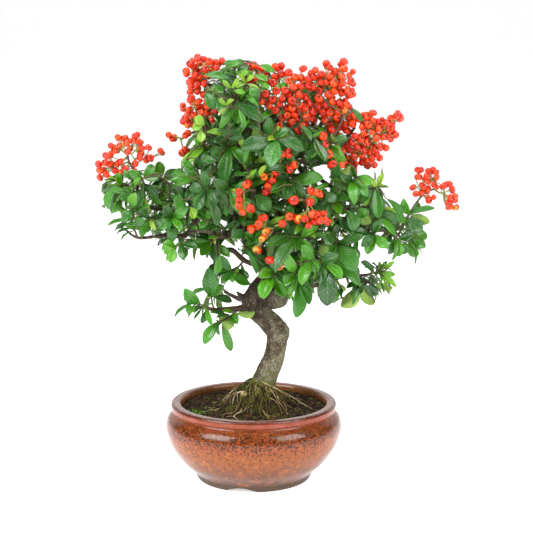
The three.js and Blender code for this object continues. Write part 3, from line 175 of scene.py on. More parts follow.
# Shoots: the twig's places, and its named leaves, each (across and height of its foot, of its
# tip, width, the tip's depth past the foot's, and tone where it is set). A tone runs from 0 for
# the oldest to 1 for the youngest, and one below 0 turns the leaf's underside forward.
SHOOTS = {
    "lowLeftTip": (
        ((-35, 145, -13), (-44, 149, -17), (-54, 150, -20)),
        ((-42, 150, -58, 163, 11, -6), (-37, 143, -44, 133, 6, -3), (-39, 144, -35, 131, 5, -8, 0.6),
         (-44, 148, -50, 143, 5, 4), (-54, 150, -55, 141, 6, -6), (-50, 152, -59, 154, 5, 3))),
    "lowLeftShoot": (
        ((-33, 144.5, -12), (-35, 152, -10), (-36, 165, -8), (-37, 172, -6)),
        ((-35, 155, -37, 181, 14, -9), (-34, 155, -26, 166, 7, -5), (-35, 156, -18, 152, 7, 6),
         (-37, 163, -44, 170, 2.5, 8, 0.9), (-37, 172, -32, 184, 8, 5))),
    "lowLeftFan": (
        ((-12, 145.6, -4), (-20, 139, -12), (-28, 135, -18), (-32, 136, -20)),
        ((-26, 130, -42, 115, 10, -5, 0.45), (-24, 130, -19, 109, 8, 3, 0.5),
         (-17, 148, -13, 133, 9, -8, 0.35), (-26, 139, -17, 130, 9, -6, -0.6),
         (-9, 148, 1, 142, 8, -9, -0.8))),
    "knotLow": (
        ((-8, 187, -11), (-13, 181, -18), (-18, 177, -23)),
        ((-18, 177, -27, 191, 8, -4), (-12, 182, -18, 168, 8, -3), (-15, 179, -31, 174, 7, 5),
         (-12, 182, -4, 172, 8, -9), (-18, 177, -27, 167, 7, -7))),
    "knotTip": (
        ((-22, 195.6, -13), (-29, 200, -18), (-38, 204, -21)),
        ((-37, 203, -51, 200, 9, -6), (-36, 203, -44, 191, 9, -9), (-33, 202, -32, 186, 8, -4),
         (-29, 200, -20, 190, 8, -10), (-38, 204, -46, 207, 8, 6))),
    "longLeftLow": (
        ((-57, 207.6, -31), (-61, 201, -38), (-66, 198, -42)),
        ((-60, 202, -58, 188, 8, -4), (-63, 200, -75, 193, 8, 3), (-59, 204, -47, 198, 8, -8),
         (-66, 198, -70, 185, 8, -3), (-65, 199, -76, 201, 8, -8))),
    "midLeftHang": (
        ((-60, 227.6, -21.6), (-63, 225, -32), (-68, 223, -40)),
        ((-64, 224, -69, 202, 10, -5), (-68, 223, -60, 212, 8, -8), (-68, 223, -77, 213, 9, -4),
         (-64, 225, -54, 232, 9, -8), (-67, 223, -74, 233, 9, -8))),
    "longLeftTip": (
        ((-97, 206.6, -34.6), (-100, 216, -37), (-101, 231, -37)),
        ((-101, 230, -110, 219, 8, -6), (-101, 231, -98, 244, 8, -6), (-100, 220, -110, 229, 7, 6),
         (-100, 215, -91, 222, 8, -6), (-99, 212, -108, 217, 6, -5))),
    "farLeftDrop": (
        ((-96.4, 247, -18), (-106, 250, -25), (-112, 250, -30)),
        ((-112, 250, -121, 230, 8, -3), (-112, 250, -125, 243, 6, -5), (-109, 250, -118, 226, 8, 8),
         (-106, 250, -101, 234, 8, -5), (-107, 250, -114, 260, 8, 7))),
    "farLeftRise": (
        ((-95, 241, -18), (-90, 248, -24), (-92, 256, -30)),
        ((-92, 256, -77, 259, 8, -5), (-91, 247, -99, 230, 9, -8), (-90, 249, -80, 242, 8, -7),
         (-92, 255, -83, 267, 8, 7), (-91, 253, -103, 262, 8, -5))),
    "midLeftTip": (
        ((-82, 231, -18), (-83, 225, -27), (-88, 221, -34)),
        ((-86, 223, -76, 212, 10, -6), (-85, 229, -100, 214, 6, -6, -0.8), (-87, 222, -94, 207, 8, 5),
         (-82, 230, -70, 219, 8, 4), (-86, 223, -93, 234, 8, -8))),
    "highLeftTip": (
        ((-64, 247.6, 15.6), (-73, 253, 10), (-80, 257, 6)),
        ((-78, 256, -90, 263, 9, 3), (-74, 253, -62, 263, 8, -6), (-76, 254, -78, 270, 9, 6),
         (-74, 253, -86, 243, 9, -8), (-70, 251, -76, 237, 10, -8), (-68, 250, -58, 238, 9, -8))),
    "highLeftFront": (
        ((-44, 246, 11.6), (-47, 252, -4), (-46, 257, -18), (-42, 258, -26)),
        ((-46, 257, -56, 237, 9, -9), (-42, 258, -38, 231, 8, -9), (-48, 252, -64, 250, 9, -4),
         (-45, 257, -35, 268, 8, -5), (-47, 254, -57, 266, 9, 6))),
    "upLeftFront": (
        ((-28, 286, -6.4), (-34, 284, -18), (-40, 280, -27)),
        ((-40, 279, -60, 266, 8, -5, 0.8), (-33, 284, -42, 267, 8, -6), (-36, 283, -25, 270, 9, -7),
         (-39, 280, -49, 288, 9, -8), (-39, 280, -45, 263, 8, 6))),
    "trunkHighFront": (
        ((-8.5, 278, -1), (-14, 281, -18), (-20, 283, -32)),
        ((-20, 283, -25, 251, 14, -9), (-16, 282, -4, 266, 10, -8), (-19, 283, -33, 288, 9, -7),
         (-20, 283, -11, 294, 9, -8), (-17, 282, -11, 266, 9, 6))),
    "frontLeftTip": (
        ((-31, 244.4, -38), (-35, 246, -50), (-40, 248, -56)),
        ((-34, 245, -30, 216, 10, -8), (-37, 246, -47, 229, 10, -6), (-34, 245, -21, 232, 9, -8),
         (-40, 248, -53, 247, 9, -7), (-38, 247, -41, 262, 9, -6))),
    "frontHubLeft": (
        ((-5, 234.7, -27), (-12, 241, -42), (-20, 247, -52)),
        ((-20, 247, -10, 227, 10, -6), (-14, 243, -27, 232, 9, 8), (-16, 244, -3, 251, 9, -8),
         (-20, 247, -33, 256, 9, -6), (-10, 239, -2, 223, 9, -14))),
    "frontLowLeft": (
        ((18, 187.4, -28), (17, 180, -38), (16, 173, -44)),
        ((17, 177, 5, 155, 7, -4, -0.3), (16, 173, 8, 154, 14, -9), (17, 175, 26, 155, 9, -7),
         (18, 185, 2, 190, 9, -9), (17, 181, 4, 173, 9, -10))),
    "frontLowMiddle": (
        ((31, 185.6, -43), (36, 176, -52), (38, 169, -55)),
        ((37, 170, 36, 138, 12, -4), (38, 169, 47, 149, 9, -7), (35, 178, 26, 165, 9, -9),
         (37, 172, 51, 176, 9, -8), (34, 180, 24, 196, 9, -9))),
    "frontLowRight": (
        ((38, 184.3, -50), (50, 187, -60), (60, 184, -64)),
        ((60, 184, 62, 148, 16, -3, 0), (50, 187, 41, 200, 9, -8), (56, 186, 71, 192, 10, -8),
         (47, 187, 40, 166, 10, -10), (59, 184, 74, 171, 10, -9))),
    "frontRightDark": (
        ((18.4, 211.4, -38), (30, 208, -48), (42, 206, -54)),
        ((40, 206, 18, 177, 12, -8, 0.1), (36, 207, 50, 192, 10, -9), (40, 206, 54, 215, 9, -7),
         (29, 208, 23, 222, 8, -8), (26, 209, 11, 200, 9, -9))),
    "frontFarTip": (
        ((33, 240, -29), (31, 248, -38), (28, 257, -46)),
        ((28, 256, 27, 238, 12, -12), (30, 249, 58, 256, 14, -10), (28, 257, 13, 263, 10, -6),
         (30, 251, 15, 244, 9, -14), (28, 257, 38, 269, 9, -6))),
    "upperRightFront": (
        ((58, 232, 8), (60, 236, -14), (64, 239, -30)),
        ((62, 237, 79, 239, 11, -6), (64, 239, 72, 252, 9, -7), (63, 238, 52, 226, 9, -9),
         (64, 239, 58, 222, 9, -8), (62, 237, 72, 226, 9, -6))),
    "mainRightLow": (
        ((72, 221, -13.6), (71, 211, -24), (70, 201, -32)),
        ((70, 201, 92, 208, 8, -5), (70, 201, 60, 184, 10, -6), (70, 201, 86, 178, 15, -8),
         (71, 207, 57, 206, 10, -7), (70, 202, 72, 180, 10, 9))),
    "mainRightMiddle": (
        ((88, 218, -14), (95, 212, -24), (102, 207, -30)),
        ((102, 207, 90, 199, 9, -7), (97, 211, 83, 212, 9, -7), (99, 209, 95, 192, 9, -6),
         (101, 208, 113, 198, 9, -5), (100, 209, 108, 221, 8, -6))),
    "mainRightOuter": (
        ((112, 212, -12), (116, 208, -20), (121, 205, -26)),
        ((115, 209, 113, 192, 8, -4), (118, 207, 122, 190, 9, -6), (117, 208, 105, 222, 9, -7),
         (121, 205, 134, 210, 9, -6))),
    "mainRightTip": (
        ((124, 206, -12), (128, 203, -14), (132, 204, -16)),
        ((130, 204, 145, 209, 12, 6), (131, 204, 144, 198, 9, -4), (129, 203, 137, 190, 9, 4),
         (127, 204, 125, 192, 8, 4))),
    "farRightShoot": (
        ((118, 210, -12), (122, 218, -20), (130, 226, -24)),
        ((129, 225, 151, 231, 5, 4, 0.3), (134, 226, 147, 219, 8, -5, -0.5), (125, 221, 141, 211, 12, -6),
         (129, 225, 125, 239, 8, -6), (123, 219, 110, 229, 9, -7))),
    "youngRight": (
        ((92, 245, -15.4), (98, 247, -22), (103, 249, -25)),
        ((103, 249, 108, 260, 5, -4, 0.98), (102, 249, 97, 256, 5, -5, 1),
         (103, 249, 107, 251, 5, 4, 0.95), (101, 248, 104, 222, 11, -7), (98, 247, 90, 236, 8, -7),
         (99, 248, 96, 254, 5, 6, 0.95))),
    "forkRightFront": (
        ((73, 246.7, -17), (80, 251, -27), (84, 257, -34)),
        ((84, 256, 98, 251, 9, -5), (81, 252, 95, 241, 9, -7), (79, 250, 71, 260, 9, -8),
         (84, 257, 79, 268, 9, -4), (80, 251, 84, 234, 9, -8))),
    "midRightFront": (
        ((58, 269, -10), (63, 276, -22), (64, 284, -32)),
        ((64, 283, 68, 251, 9, -10), (63, 279, 76, 270, 10, -7), (64, 282, 54, 268, 10, -8),
         (64, 284, 78, 289, 9, -6), (63, 277, 49, 283, 9, -7))),
    "trunkTopFront": (
        ((-16.7, 316, -1), (-14, 317, -14), (-11, 319, -24)),
        ((-15, 317, -28, 297, 8, -6), (-12, 318, 9, 303, 12, -6), (-12, 319, -3, 330, 9, -7),
         (-14, 318, -27, 324, 9, -6), (-12, 318, -13, 301, 9, -9))),
    "frontHighTip": (
        ((0, 297, -34), (10, 292, -46), (20, 288, -52)),
        ((17, 289, -10, 281, 13, -8, 0.05), (19, 288, 14, 265, 14, -6, 0.3),
         (20, 288, 42, 279, 10, -4, 0.1), (17, 290, 29, 296, 8, -7), (9, 292, 14, 306, 8, -8))),
    "topShoot": (
        ((-12, 331, 1.4), (-14, 338, -5), (-15, 346, -8)),
        ((-15, 346, -8, 353, 7, -4), (-15, 345, -24, 351, 7, 5), (-14, 341, 0, 341, 8, -8),
         (-14, 338, -26, 333, 8, -8), (-14, 342, -4, 349, 8, 10))),
    "lowRightTip": (
        ((95, 174.6, -14.6), (103, 177, -18), (110, 178, -20)),
        ((104, 177, 119, 175, 5, 6, 0.7), (102, 176, 120, 164, 5, -6, 0.8),
         (108, 178, 114, 158, 5, -7, -0.9), (100, 176, 90, 186, 6, -6),
         (110, 178, 118, 186, 4, -3, 0.85))),
    "lowRightHang": (
        ((82, 173.6, -13), (87, 169, -20), (91, 166, -24)),
        ((90, 167, 74, 147, 13, -5, -0.8), (91, 166, 101, 149, 9, -6, -0.8), (87, 169, 78, 164, 6, 8),
         (91, 166, 105, 158, 8, 6), (84, 172, 78, 185, 9, -8))),
}
# Shoots round the back: the twig's start and end, and how many large leaves stand round it.
RING_SHOOTS = {
    "backLowTip": ((22, 198.4, 60), (36, 206, 76), 6),
    "backLeftTip": ((-56, 228, 54), (-80, 236, 66), 6),
    "backMiddleTip": ((10, 263.4, 66), (6, 276, 88), 6),
    "backMiddleSide": ((3, 260, 46), (-22, 252, 70), 6),
    "backUpLeftTip": ((-36, 286.8, 52), (-35, 295, 76), 6),
    "backUpRightTip": ((40, 300, 49), (58, 290, 72), 6),
    "backRightTip": ((76, 229.4, 50), (102, 240, 60), 6),
    "lowBackLeftTip": ((-20, 158, 34), (-38, 164, 52), 6),
    "backLeftMiddle": ((-34, 226, 38), (-36, 208, 60), 7),
    "lowBackRightTip": ((38, 169.4, 35), (56, 176, 52), 6),
}
# Outline of the crown in the front view, (across, height), without the low left branch.
CANOPY = np.array((
    (-126, 254), (-118, 258), (-108, 262), (-98, 262), (-92, 264), (-80, 266), (-75, 258), (-73, 252),
    (-70, 260), (-64, 264), (-60, 262), (-60, 268), (-55, 274), (-46, 280), (-47, 286), (-50, 296),
    (-50, 305), (-45, 308), (-42, 315), (-42, 338), (-30, 345), (-22, 350), (-15, 352), (0, 350),
    (10, 348), (16, 342), (45, 343), (60, 330), (78, 318), (84, 314), (90, 304), (88, 297), (84, 290),
    (80, 280), (76, 268), (80, 262), (87, 258), (95, 252), (104, 258), (107, 252), (106, 246), (112, 238),
    (121, 228), (122, 220), (128, 232), (130, 222), (135, 229), (152, 232), (143, 221), (147, 219),
    (141, 209), (137, 203), (137, 192), (128, 196), (121, 196), (112, 200), (106, 206), (92, 200),
    (91, 208), (87, 205), (86, 195), (86, 180), (90, 178), (95, 184), (104, 186), (112, 184), (118, 176),
    (121, 163), (114, 153), (110, 158), (103, 149), (95, 150), (90, 165), (74, 146), (72, 160), (68, 150),
    (62, 148), (56, 160), (54, 170), (47, 158), (42, 150), (36, 138), (30, 146), (29, 160), (20, 155),
    (8, 158), (2, 172), (-2, 190), (-20, 195), (-26, 192), (-30, 178), (-34, 190), (-38, 188), (-40, 196),
    (-50, 200), (-60, 193), (-62, 203), (-70, 202), (-78, 194), (-84, 205), (-92, 206), (-95, 212),
    (-100, 222), (-110, 221), (-112, 228), (-119, 226), (-124, 230), (-126, 240)))
# Gaps in it, each (across, height, half width, half height).
GAPS = np.array((
    (-87, 254, 7, 5), (-92.5, 220.5, 4.5, 5), (-42, 216.5, 6, 2.5), (-20, 199, 10, 3), (-35, 303, 3, 3),
    (57.5, 259, 5.5, 9), (35, 261.5, 5, 3.5), (75, 268.5, 5, 5.5), (85, 296.5, 7, 8)))
# Places where bare wood shows, each (across, height, depth, radius).
SHOWN_WOOD = (
    (-96, 206, -34, 4), (-89, 206, -34, 4), (-25, 207, -24, 4), (-18, 209, -18, 4), (-11, 212, -12, 4),
    (-58, 209, -31, 3), (-18, 195, -12, 4), (-8, 188, -11, 4), (4, 190, 0, 4), (43, 258, -14, 3),
    (38, 264, -12, 3), (-14, 238, 0, 4), (0, 214, -4, 3))
# Single leaves towards the front, each (across and height of its foot, of its tip, width, tone).
LONE_LEAVES = (
    (-28, 192, -32, 175, 7, 0.45), (-25, 141, -18, 134, 9, -0.7), (-2, 166, -17, 172, 10, 0.35),
    (-30, 140, -22, 136, 8, -0.7), (13, 182, 18, 208, 9, -0.2), (2, 243, 14, 229, 12, 0.25),
    (-111, 240, -118, 227, 6, 0.5), (-98, 243, -112, 240, 8, 0.2), (-84, 218, -92, 212, 6, 0.4),
    (-100, 246, -94, 256, 6, 0.6), (-101, 255, -108, 262, 6, 0.3), (-104, 243, -119, 247, 6, 0.4),
    (-40, 222, -48, 228, 9, 0.3), (-40, 222, -35, 227, 8, 0.4), (-42, 221, -44, 214, 7, 0.4),
    (-52, 231, -49, 222, 6, 0.95), (-53, 232, -47, 226, 5, 0.9), (-62, 244, -63, 229, 10, 0.4),
    (-50, 262, -60, 270, 7, 0.4), (-55, 258, -66, 262, 5, 0.5), (-68, 257, -60, 264, 5, 0.5),
    (-70, 254, -58, 257, 5, 0.4), (-30, 296, -8, 289, 9, 0.05), (20, 289, 12, 288, 5, 0.97),
    (21, 290, 29, 292, 5, 1), (22, 291, 20, 299, 4, 0.95), (5, 349, 17, 344, 6, 0.5),
    (-40, 300, -48, 307, 8, 0.9), (-42, 300, -50, 296, 7, 0.85), (-44, 296, -43, 286, 7, 0.9),
    (50, 290, 60, 270, 10, 0.05), (72, 262, 80, 264, 8, -0.6), (82, 314, 90, 303, 5, 0.2),
    (-42, 341, -20, 338, 7, 0.3), (-18, 330, -12, 339, 4, 0.9), (-18, 330, -25, 337, 4, 0.85),
    (-16, 328, -7, 326, 5, 0.7), (-12, 338, -4, 344, 5, 0.8), (0, 341, 12, 336, 6, 0.5),
    (2, 336, 13, 330, 5, 0.6), (-40, 327, -32, 313, 9, 0.2), (-30, 322, -23, 308, 10, 0.25),
    (-22, 348, -10, 351, 7, 0.4), (-34, 334, -25, 326, 7, 0.3), (-4, 331, 4, 322, 8, 0.35),
    (84, 226, 98, 219, 9, -0.5), (78, 229, 84, 212, 12, 0.2), (67, 186, 90, 165, 8, 0.35),
    (88, 168, 95, 156, 7, 0.4), (110, 239, 123, 219, 8, 0.25), (111, 229, 122, 218, 6, 0.15),
    (101, 168, 117, 163, 6, -0.8), (100, 179, 92, 187, 3, 0.4), (104, 179, 105, 186, 4, 0.9),
    (107, 180, 113, 183, 4, 0.8), (24, 205, 15, 180, 11, 0.1), (30, 214, 26, 202, 8, -0.2),
    (52, 205, 45, 196, 9, 0.05), (58, 210, 66, 200, 9, 0.2), (64, 210, 60, 190, 9, -0.3),
    (78, 200, 86, 185, 9, 0.15), (70, 222, 84, 208, 10, 0.1), (88, 223, 96, 229, 9, 0.4),
    (46, 226, 36, 219, 8, 0.3), (24, 231, 34, 226, 7, 0.3), (-8, 213, -18, 206, 10, 0.15),
    (0, 203, -8, 210, 9, 0.3), (6, 190, 2, 200, 8, -0.3), (44, 246, 34, 250, 12, 0.15),
    (60, 245, 68, 236, 11, 0.1), (34, 268, 22, 262, 8, 0.1), (26, 276, 36, 270, 8, 0.2),
    (-6, 335, -12, 342, 4, 0.95), (-6, 335, 1, 341, 4, 1), (-6, 334, -14, 331, 4, 0.9),
    (-5, 334, 4, 330, 4, -0.9), (-22, 316, -28, 322, 4, 0.9), (-22, 316, -16, 321, 4, 0.95),
    (-22, 315, -27, 309, 4, -0.8), (-14, 318, 8, 303, 11, 0.1), (-18, 320, -28, 297, 7, 0.35),
    (8, 292, 0, 297, 8, -0.2), (-4, 283, 12, 279, 11, 0.3), (-30, 270, -42, 272, 8, 0.15))
# Bunches of berries: the stalk's places, (depth of the bunch's middle, half its depth), and the
# front berries, each (across, height, and radius and tone where they are set).
BUNCHES = {
    "farLeft": (
        ((-99.5, 264, -18), (-103, 270, -14), (-104, 276, -12)), (-12, 17),
        ((-112, 290), (-108, 289), (-98, 291), (-118, 283), (-111, 283), (-115, 279), (-105, 285),
         (-102, 287), (-97, 287), (-94, 286), (-92, 281), (-86, 281), (-77, 279), (-85, 273), (-93, 277),
         (-94, 273), (-88, 273), (-98, 268), (-99, 261), (-110, 270), (-121, 274), (-118, 276),
         (-123, 269), (-119, 268), (-128, 267), (-127, 262), (-128, 257), (-122, 259), (-110, 260),
         (-112, 255), (-115, 262), (-106, 264), (-104, 278), (-113, 268), (-124, 263))),
    "leftLone": (
        ((-40, 299, -10), (-50, 294, -13), (-60, 288, -15)), (-15, 3),
        ((-70, 292), (-67, 289), (-56, 291.5), (-57, 280), (-59, 277))),
    "topLeft": (
        ((-42, 337, 4), (-45, 341, 3), (-45, 345, 3)), (2, 13),
        ((-46, 354), (-41, 354), (-36, 352), (-31, 351), (-25, 351.5), (-52, 350), (-49, 348), (-44, 350),
         (-39, 346), (-33, 345.5, 3.9), (-55, 344), (-48, 341), (-44, 340), (-42, 343), (-51, 337),
         (-46, 338), (-50, 333), (-46, 333), (-52, 327), (-46, 327.5), (-41, 325), (-38, 341), (-40, 334),
         (-30, 347), (-47, 345))),
    "upLeft": (
        ((-44, 303, -11.4), (-46, 307, -14), (-47, 312, -15)), (-13, 8),
        ((-51, 322), (-46, 319), (-46, 315), (-38, 315), (-32, 311), (-43, 310), (-38, 310), (-54, 312),
         (-51, 309.5), (-49, 308.5), (-56, 305.5), (-53, 302), (-54, 300, 3, 0.86), (-48, 299.5),
         (-42, 315))),
    "topMiddle": (
        ((-7, 339.4, 2.6), (0, 341, 4), (6, 341, 6)), (10, 6),
        ((-5, 349), (1, 348), (-3, 344), (8, 346), (-6, 338), (1, 337), (10, 337), (6, 341), (10, 343))),
    "crownLeft": (
        ((22, 296, 11), (22, 310, 0), (24, 326, -6)), (-8, 24),
        ((18, 348), (23, 348.5), (29, 343), (23, 342), (18, 340), (16, 334.5), (34, 339), (40.5, 346),
         (45, 338), (45, 332), (33, 331.5), (19, 328), (26, 328.5), (10, 325.5), (38, 325), (43, 323),
         (24, 322), (16, 321), (7, 319), (13, 316), (22, 317.5), (32, 320), (38, 316.5), (18, 312),
         (32, 314), (34, 309), (38, 313), (28, 308), (24, 306), (32, 303), (36, 306), (22, 300),
         (24, 294.5), (36, 296.5), (41, 299.5), (44, 306.5), (49, 310.5), (48, 305.5), (29, 336),
         (39, 332), (39, 339), (30, 325), (28, 314), (43, 314), (46, 318))),
    "crownRight": (
        ((55, 295, 12), (58, 312, 4), (64, 328, 0)), (-2, 20),
        ((51, 345), (56, 342), (63, 347), (67, 344), (63, 340), (74, 352), (75, 346), (73, 340),
         (79, 341), (80, 335), (66, 334), (70, 334), (55, 335), (60, 335), (62, 325), (67, 328),
         (73, 327), (78, 328), (80, 325), (65, 319), (71, 318), (77, 317), (60, 316), (57, 318),
         (76, 311, 3.2, 0.85), (83, 308), (87, 305), (82, 301), (80, 306), (76, 300), (72, 298),
         (69, 306), (65, 296), (78, 295), (72, 291), (54, 322, 3.9), (49, 331), (54, 328), (50, 339),
         (57, 310), (63, 310), (70, 311), (59, 304), (74, 334), (53, 315), (62, 301))),
    "right": (
        ((80, 293.4, 9.2), (91, 290, 0), (98, 285, -6)), (-4, 19),
        ((98, 310), (94, 306), (99, 304), (95, 300), (113, 306), (118, 308), (121, 307.5), (111, 302),
         (115, 298), (118, 292), (112, 296), (104, 297), (98, 294), (92, 293), (84, 291), (89, 288),
         (94, 286), (102, 289), (108, 290), (112, 290), (105, 283), (110, 281), (101, 280), (97, 277),
         (92, 279), (86, 281), (80, 279), (83, 274), (99, 272), (95, 270), (90, 269), (85, 268),
         (98, 268), (95, 266), (102, 276), (80, 267), (84, 261), (78, 272, 2.7, 0.84), (74, 279),
         (82, 285), (103, 303), (107, 300), (90, 274), (90, 298))),
    "farRight": (
        ((121, 208.3, -12), (128, 222, -10), (134, 233, -8), (142, 243, -8), (150, 247, -8)), (-8, 11),
        ((136, 263), (139, 263), (138, 257), (144, 258), (145, 262), (149, 263), (152, 261), (152, 257),
         (150, 250.5), (145, 253), (132, 248), (135, 243), (141, 249), (145, 247), (146, 237.5),
         (150, 240), (159, 250, 2.9), (163, 251, 2.8), (165, 247.5, 2.8), (164, 240, 2.8),
         (168, 241, 2.7), (166, 238, 2.7), (162, 235, 2.8), (164, 232, 2.7), (168, 231, 2.4, 0.97),
         (140, 244))),
    "frontHub": (
        ((1, 245.6, -55), (-4, 246, -64), (-8, 244, -68)), (-68, 3),
        ((-6, 250.5), (-12, 245), (-12, 238), (-12, 233), (-9, 227.5), (-2.5, 231))),
    "frontRightHub": (
        ((18, 211, -40), (16, 212, -56), (18, 216, -62)), (-62, 3),
        ((24, 218), (30, 224), (35, 223), (9, 223), (4.5, 218), (-2, 213), (10, 211, 2.8, 0.9),
         (7, 205, 2.6, 0.96), (2, 196, 2.5, 0.95))),
    "frontFarHub": (
        ((37.4, 241, -42), (40, 239, -58), (46, 236, -66)), (-66, 5),
        ((34, 237.5, 3.8), (47.5, 246), (53, 244), (47.5, 236), (43, 222), (49, 226), (53, 225),
         (57, 226), (51, 220), (46, 216), (56, 220.5), (60, 221), (38, 222.5, 2.8, 0.95))),
    "frontLowDrop": (
        ((28, 186, -40), (26, 190, -56), (22, 190, -64)), (-64, 3),
        ((22, 192), (15, 187), (26, 187.5, 3.1, 0.84), (22, 181.5, 3, 0.9))),
    "midRightDrop": (
        ((20, 263, -7.4), (20, 266, -32), (20, 266, -50)), (-54, 4),
        ((19, 261), (30, 263), (34, 267), (9, 257, 3, 0.86), (16, 254), (12, 249.5), (15, 249),
         (10, 244.5), (24, 276), (29, 276))),
    "forkRightDrop": (
        ((66, 269, -11), (68, 274, -30), (68, 272, -44)), (-44, 4),
        ((62, 276, 3.8), (74, 267), (58, 290), (60, 284), (66, 268))),
    "backLeft": (
        ((-36, 286.6, 51), (-41, 296, 58), (-44, 304, 62)), (64, 12),
        ((-46, 314), (-38, 312), (-54, 310), (-34, 304), (-50, 306), (-40, 300), (-44, 320), (-32, 310),
         (-56, 302), (-48, 298), (-58, 316), (-50, 318), (-38, 320), (-42, 306))),
    "backRight": (
        ((36, 299, 45), (42, 308, 56), (46, 314, 62)), (62, 13),
        ((36, 320), (46, 324), (56, 318), (38, 310), (48, 312), (50, 302), (32, 312), (52, 326),
         (42, 330), (60, 308), (40, 302), (30, 304), (54, 312), (44, 317), (62, 324), (34, 328))),
}

# Twigs, each (first radius, last radius, sides).
SHOOT_TWIG = (0.95, 0.5, 7)
RING_TWIG = (1.1, 0.5, 7)
SPRIG_TWIG = (0.7, 0.4, 5)
LONE_TWIG = (0.6, 0.4, 5)
BUNCH_TWIG = (1.05, 0.7, 7)
HUB_TWIG = (0.75, 0.55, 6)
BERRY_TWIG = (0.48, 0.42, 5)

# Leaves that stand round a twig: each turned on from the one before, and how many fill a shoot.
TURN_OF_A_LEAF = math.radians(137.5)
FILL_LEAVES = 7
FILL_LENGTH = 15
RING_LENGTH = 24
SPRIG_LEAVES = 5
SPRIG_LENGTH = 18
YOUNG_SHARE = 0.1
# How far a leaf's tip is moved back or forth, tried in turn until it is clear of what is in place.
BENDS = (0, -4, 4, -8, 8, -13, 13, -18, 18)

# The crown: the point in the pot's frame that berries turn away from, the height of its widest
# part, and half of its sizes.
CANOPY_MIDDLE = (0, 20, 250)
CANOPY_HEIGHT = 255
CANOPY_HALF_DEPTH = 62
CANOPY_HALF_WIDTH = 135
CANOPY_HALF_HEIGHT = 115
# Sprigs that fill it. One grows where the nearest wood is as far off as SPRIG_REACH says, and
# further aside more of them are left out.
SPRIG_SPACING = 13
SPRIG_TRIES = 9000
SPRIG_REACH = (4, 45)
THINNING = 0.9
THINNING_WIDTH = 130
# Only what lies before this depth is kept free of sprigs.
SHOWN_DEPTH = 15

# Berries. A share of the front ones has another behind it, and a full bunch has more between.
BERRY_RADIUS = 3
BERRY_RADII = {"right": 2.75, "farLeft": 2.65, "farRight": 2.7}
BACK_BERRIES = 0.85
FULL_BUNCHES = ("crownRight", "right")

# What lies on the soil.
GRAINS = 4200
MOSS_TUFTS = 6500
WEEDS = 34
WEED_PLACE = (-45, -21)
THIN_ROOTS = 110
THICK_ROOTS = 9
LONG_ROOT = (
    (6, 83, -9), (13, 79.5, -13), (22, 75, -15), (33, 69, -14), (43, 62.5, -12), (51, 57.5, -11))
KNOB = (-8.6, 71.5, -21)
KNOB_RADIUS = 2.6

# Branches that are joined to the trunk as one skin, and the grain of that skin.
THICK_BRANCHES = ("longLeft", "mainRight")
VOXEL = 1.0

# Seeds of the random draws. Bunches, shoots and ring shoots count on from theirs.
SEEDS = {
    "bunches": 100, "shoots": 200, "ring shoots": 300, "lone leaves": 51, "sprigs": 61,
    "grains": 41, "thin roots": 17, "thick roots": 5, "moss": 9,
}

# Lights, in metres and watts: name, place, (width, height) and power. All point at LIT_PLACE.
LIGHTS = (
    ("soft_left", (-1.3, -1.0, 1.15), (1.2, 1.15), 42),
    ("soft_right", (1.3, -1.0, 1.15), (1.2, 1.15), 31),
    ("soft_top", (0, 0.1, 1.6), (1.0, 0.8), 16),
)
LIT_PLACE = (0, 0, 0.15)
WORLD_LIGHT = 0.14

# Floor, in metres: half its width, how far it runs flat, and its bend and top behind the plant.
FLOOR_SIDE = 7
FLOOR_DEPTH = 3
FLOOR_BEND = 2
FLOOR_TOP = 6
FLOOR_GLOW = 0.58


def place(row):
    """The point in the pot's frame, in millimetres, of a place as it is seen from in front."""
    across, height, depth = row[:3]
    reach = 1 + depth / EYE_DISTANCE
    return np.array((
        EYE_ACROSS + (across - EYE_ACROSS) * reach,
        depth,
        EYE_HEIGHT + (height - EYE_HEIGHT) * reach,
    ))


def seen(point):
    """The place of a point as it is seen from in front: the reverse of place()."""
    reach = 1 + point[1] / EYE_DISTANCE
    across = EYE_ACROSS + (point[0] - EYE_ACROSS) / reach
    height = EYE_HEIGHT + (point[2] - EYE_HEIGHT) / reach
    return across, height, point[1]


def unit(vector):
    return vector / np.linalg.norm(vector)


def random_series(name, number=0):
    """A repeatable series of numbers from 0 to 1."""
    return np.random.default_rng(SEEDS[name] + number).random


class Mesh:
    """Gathers points, faces, each face's material number and each point's look for one piece.
    A point's look is (across the leaf, along the leaf, tone of the whole leaf, berry or twig)."""

    def __init__(self):
        self.points = []
        self.faces = []
        self.kinds = []
        self.flat = []
        self.looks = []
        self.size = 0

    def add(self, points, faces, kinds, look, flat=False):
        """kinds and flat are each one value for all the faces, or a value for each."""
        points = np.asarray(points, float).reshape(-1, 3)
        looks = np.empty_like(points)
        looks[:] = look
        self.points.append(points)
        self.looks.append(looks)
        start = self.size
        self.faces.extend(tuple(corner + start for corner in face) for face in faces)
        self.kinds.extend(np.broadcast_to(kinds, len(faces)).tolist())
        self.flat.extend(np.broadcast_to(flat, len(faces)).tolist())
        self.size += len(points)

    def add_tube(self, route, radii, sides, kind=0, tone=0.0):
        points, faces = tube(route, radii, sides)
        self.add(points, faces, kind, (0, 0, tone))

    def add_twig(self, route, twig, kind, tone):
        thick, thin, sides = twig
        self.add_tube(route, np.linspace(thick, thin, len(route)), sides, kind, tone)


def linked(name, data):
    """A new object that shows the data, in the scene."""
    made = bpy.data.objects.new(name, data)
    bpy.context.scene.collection.objects.link(made)
    return made


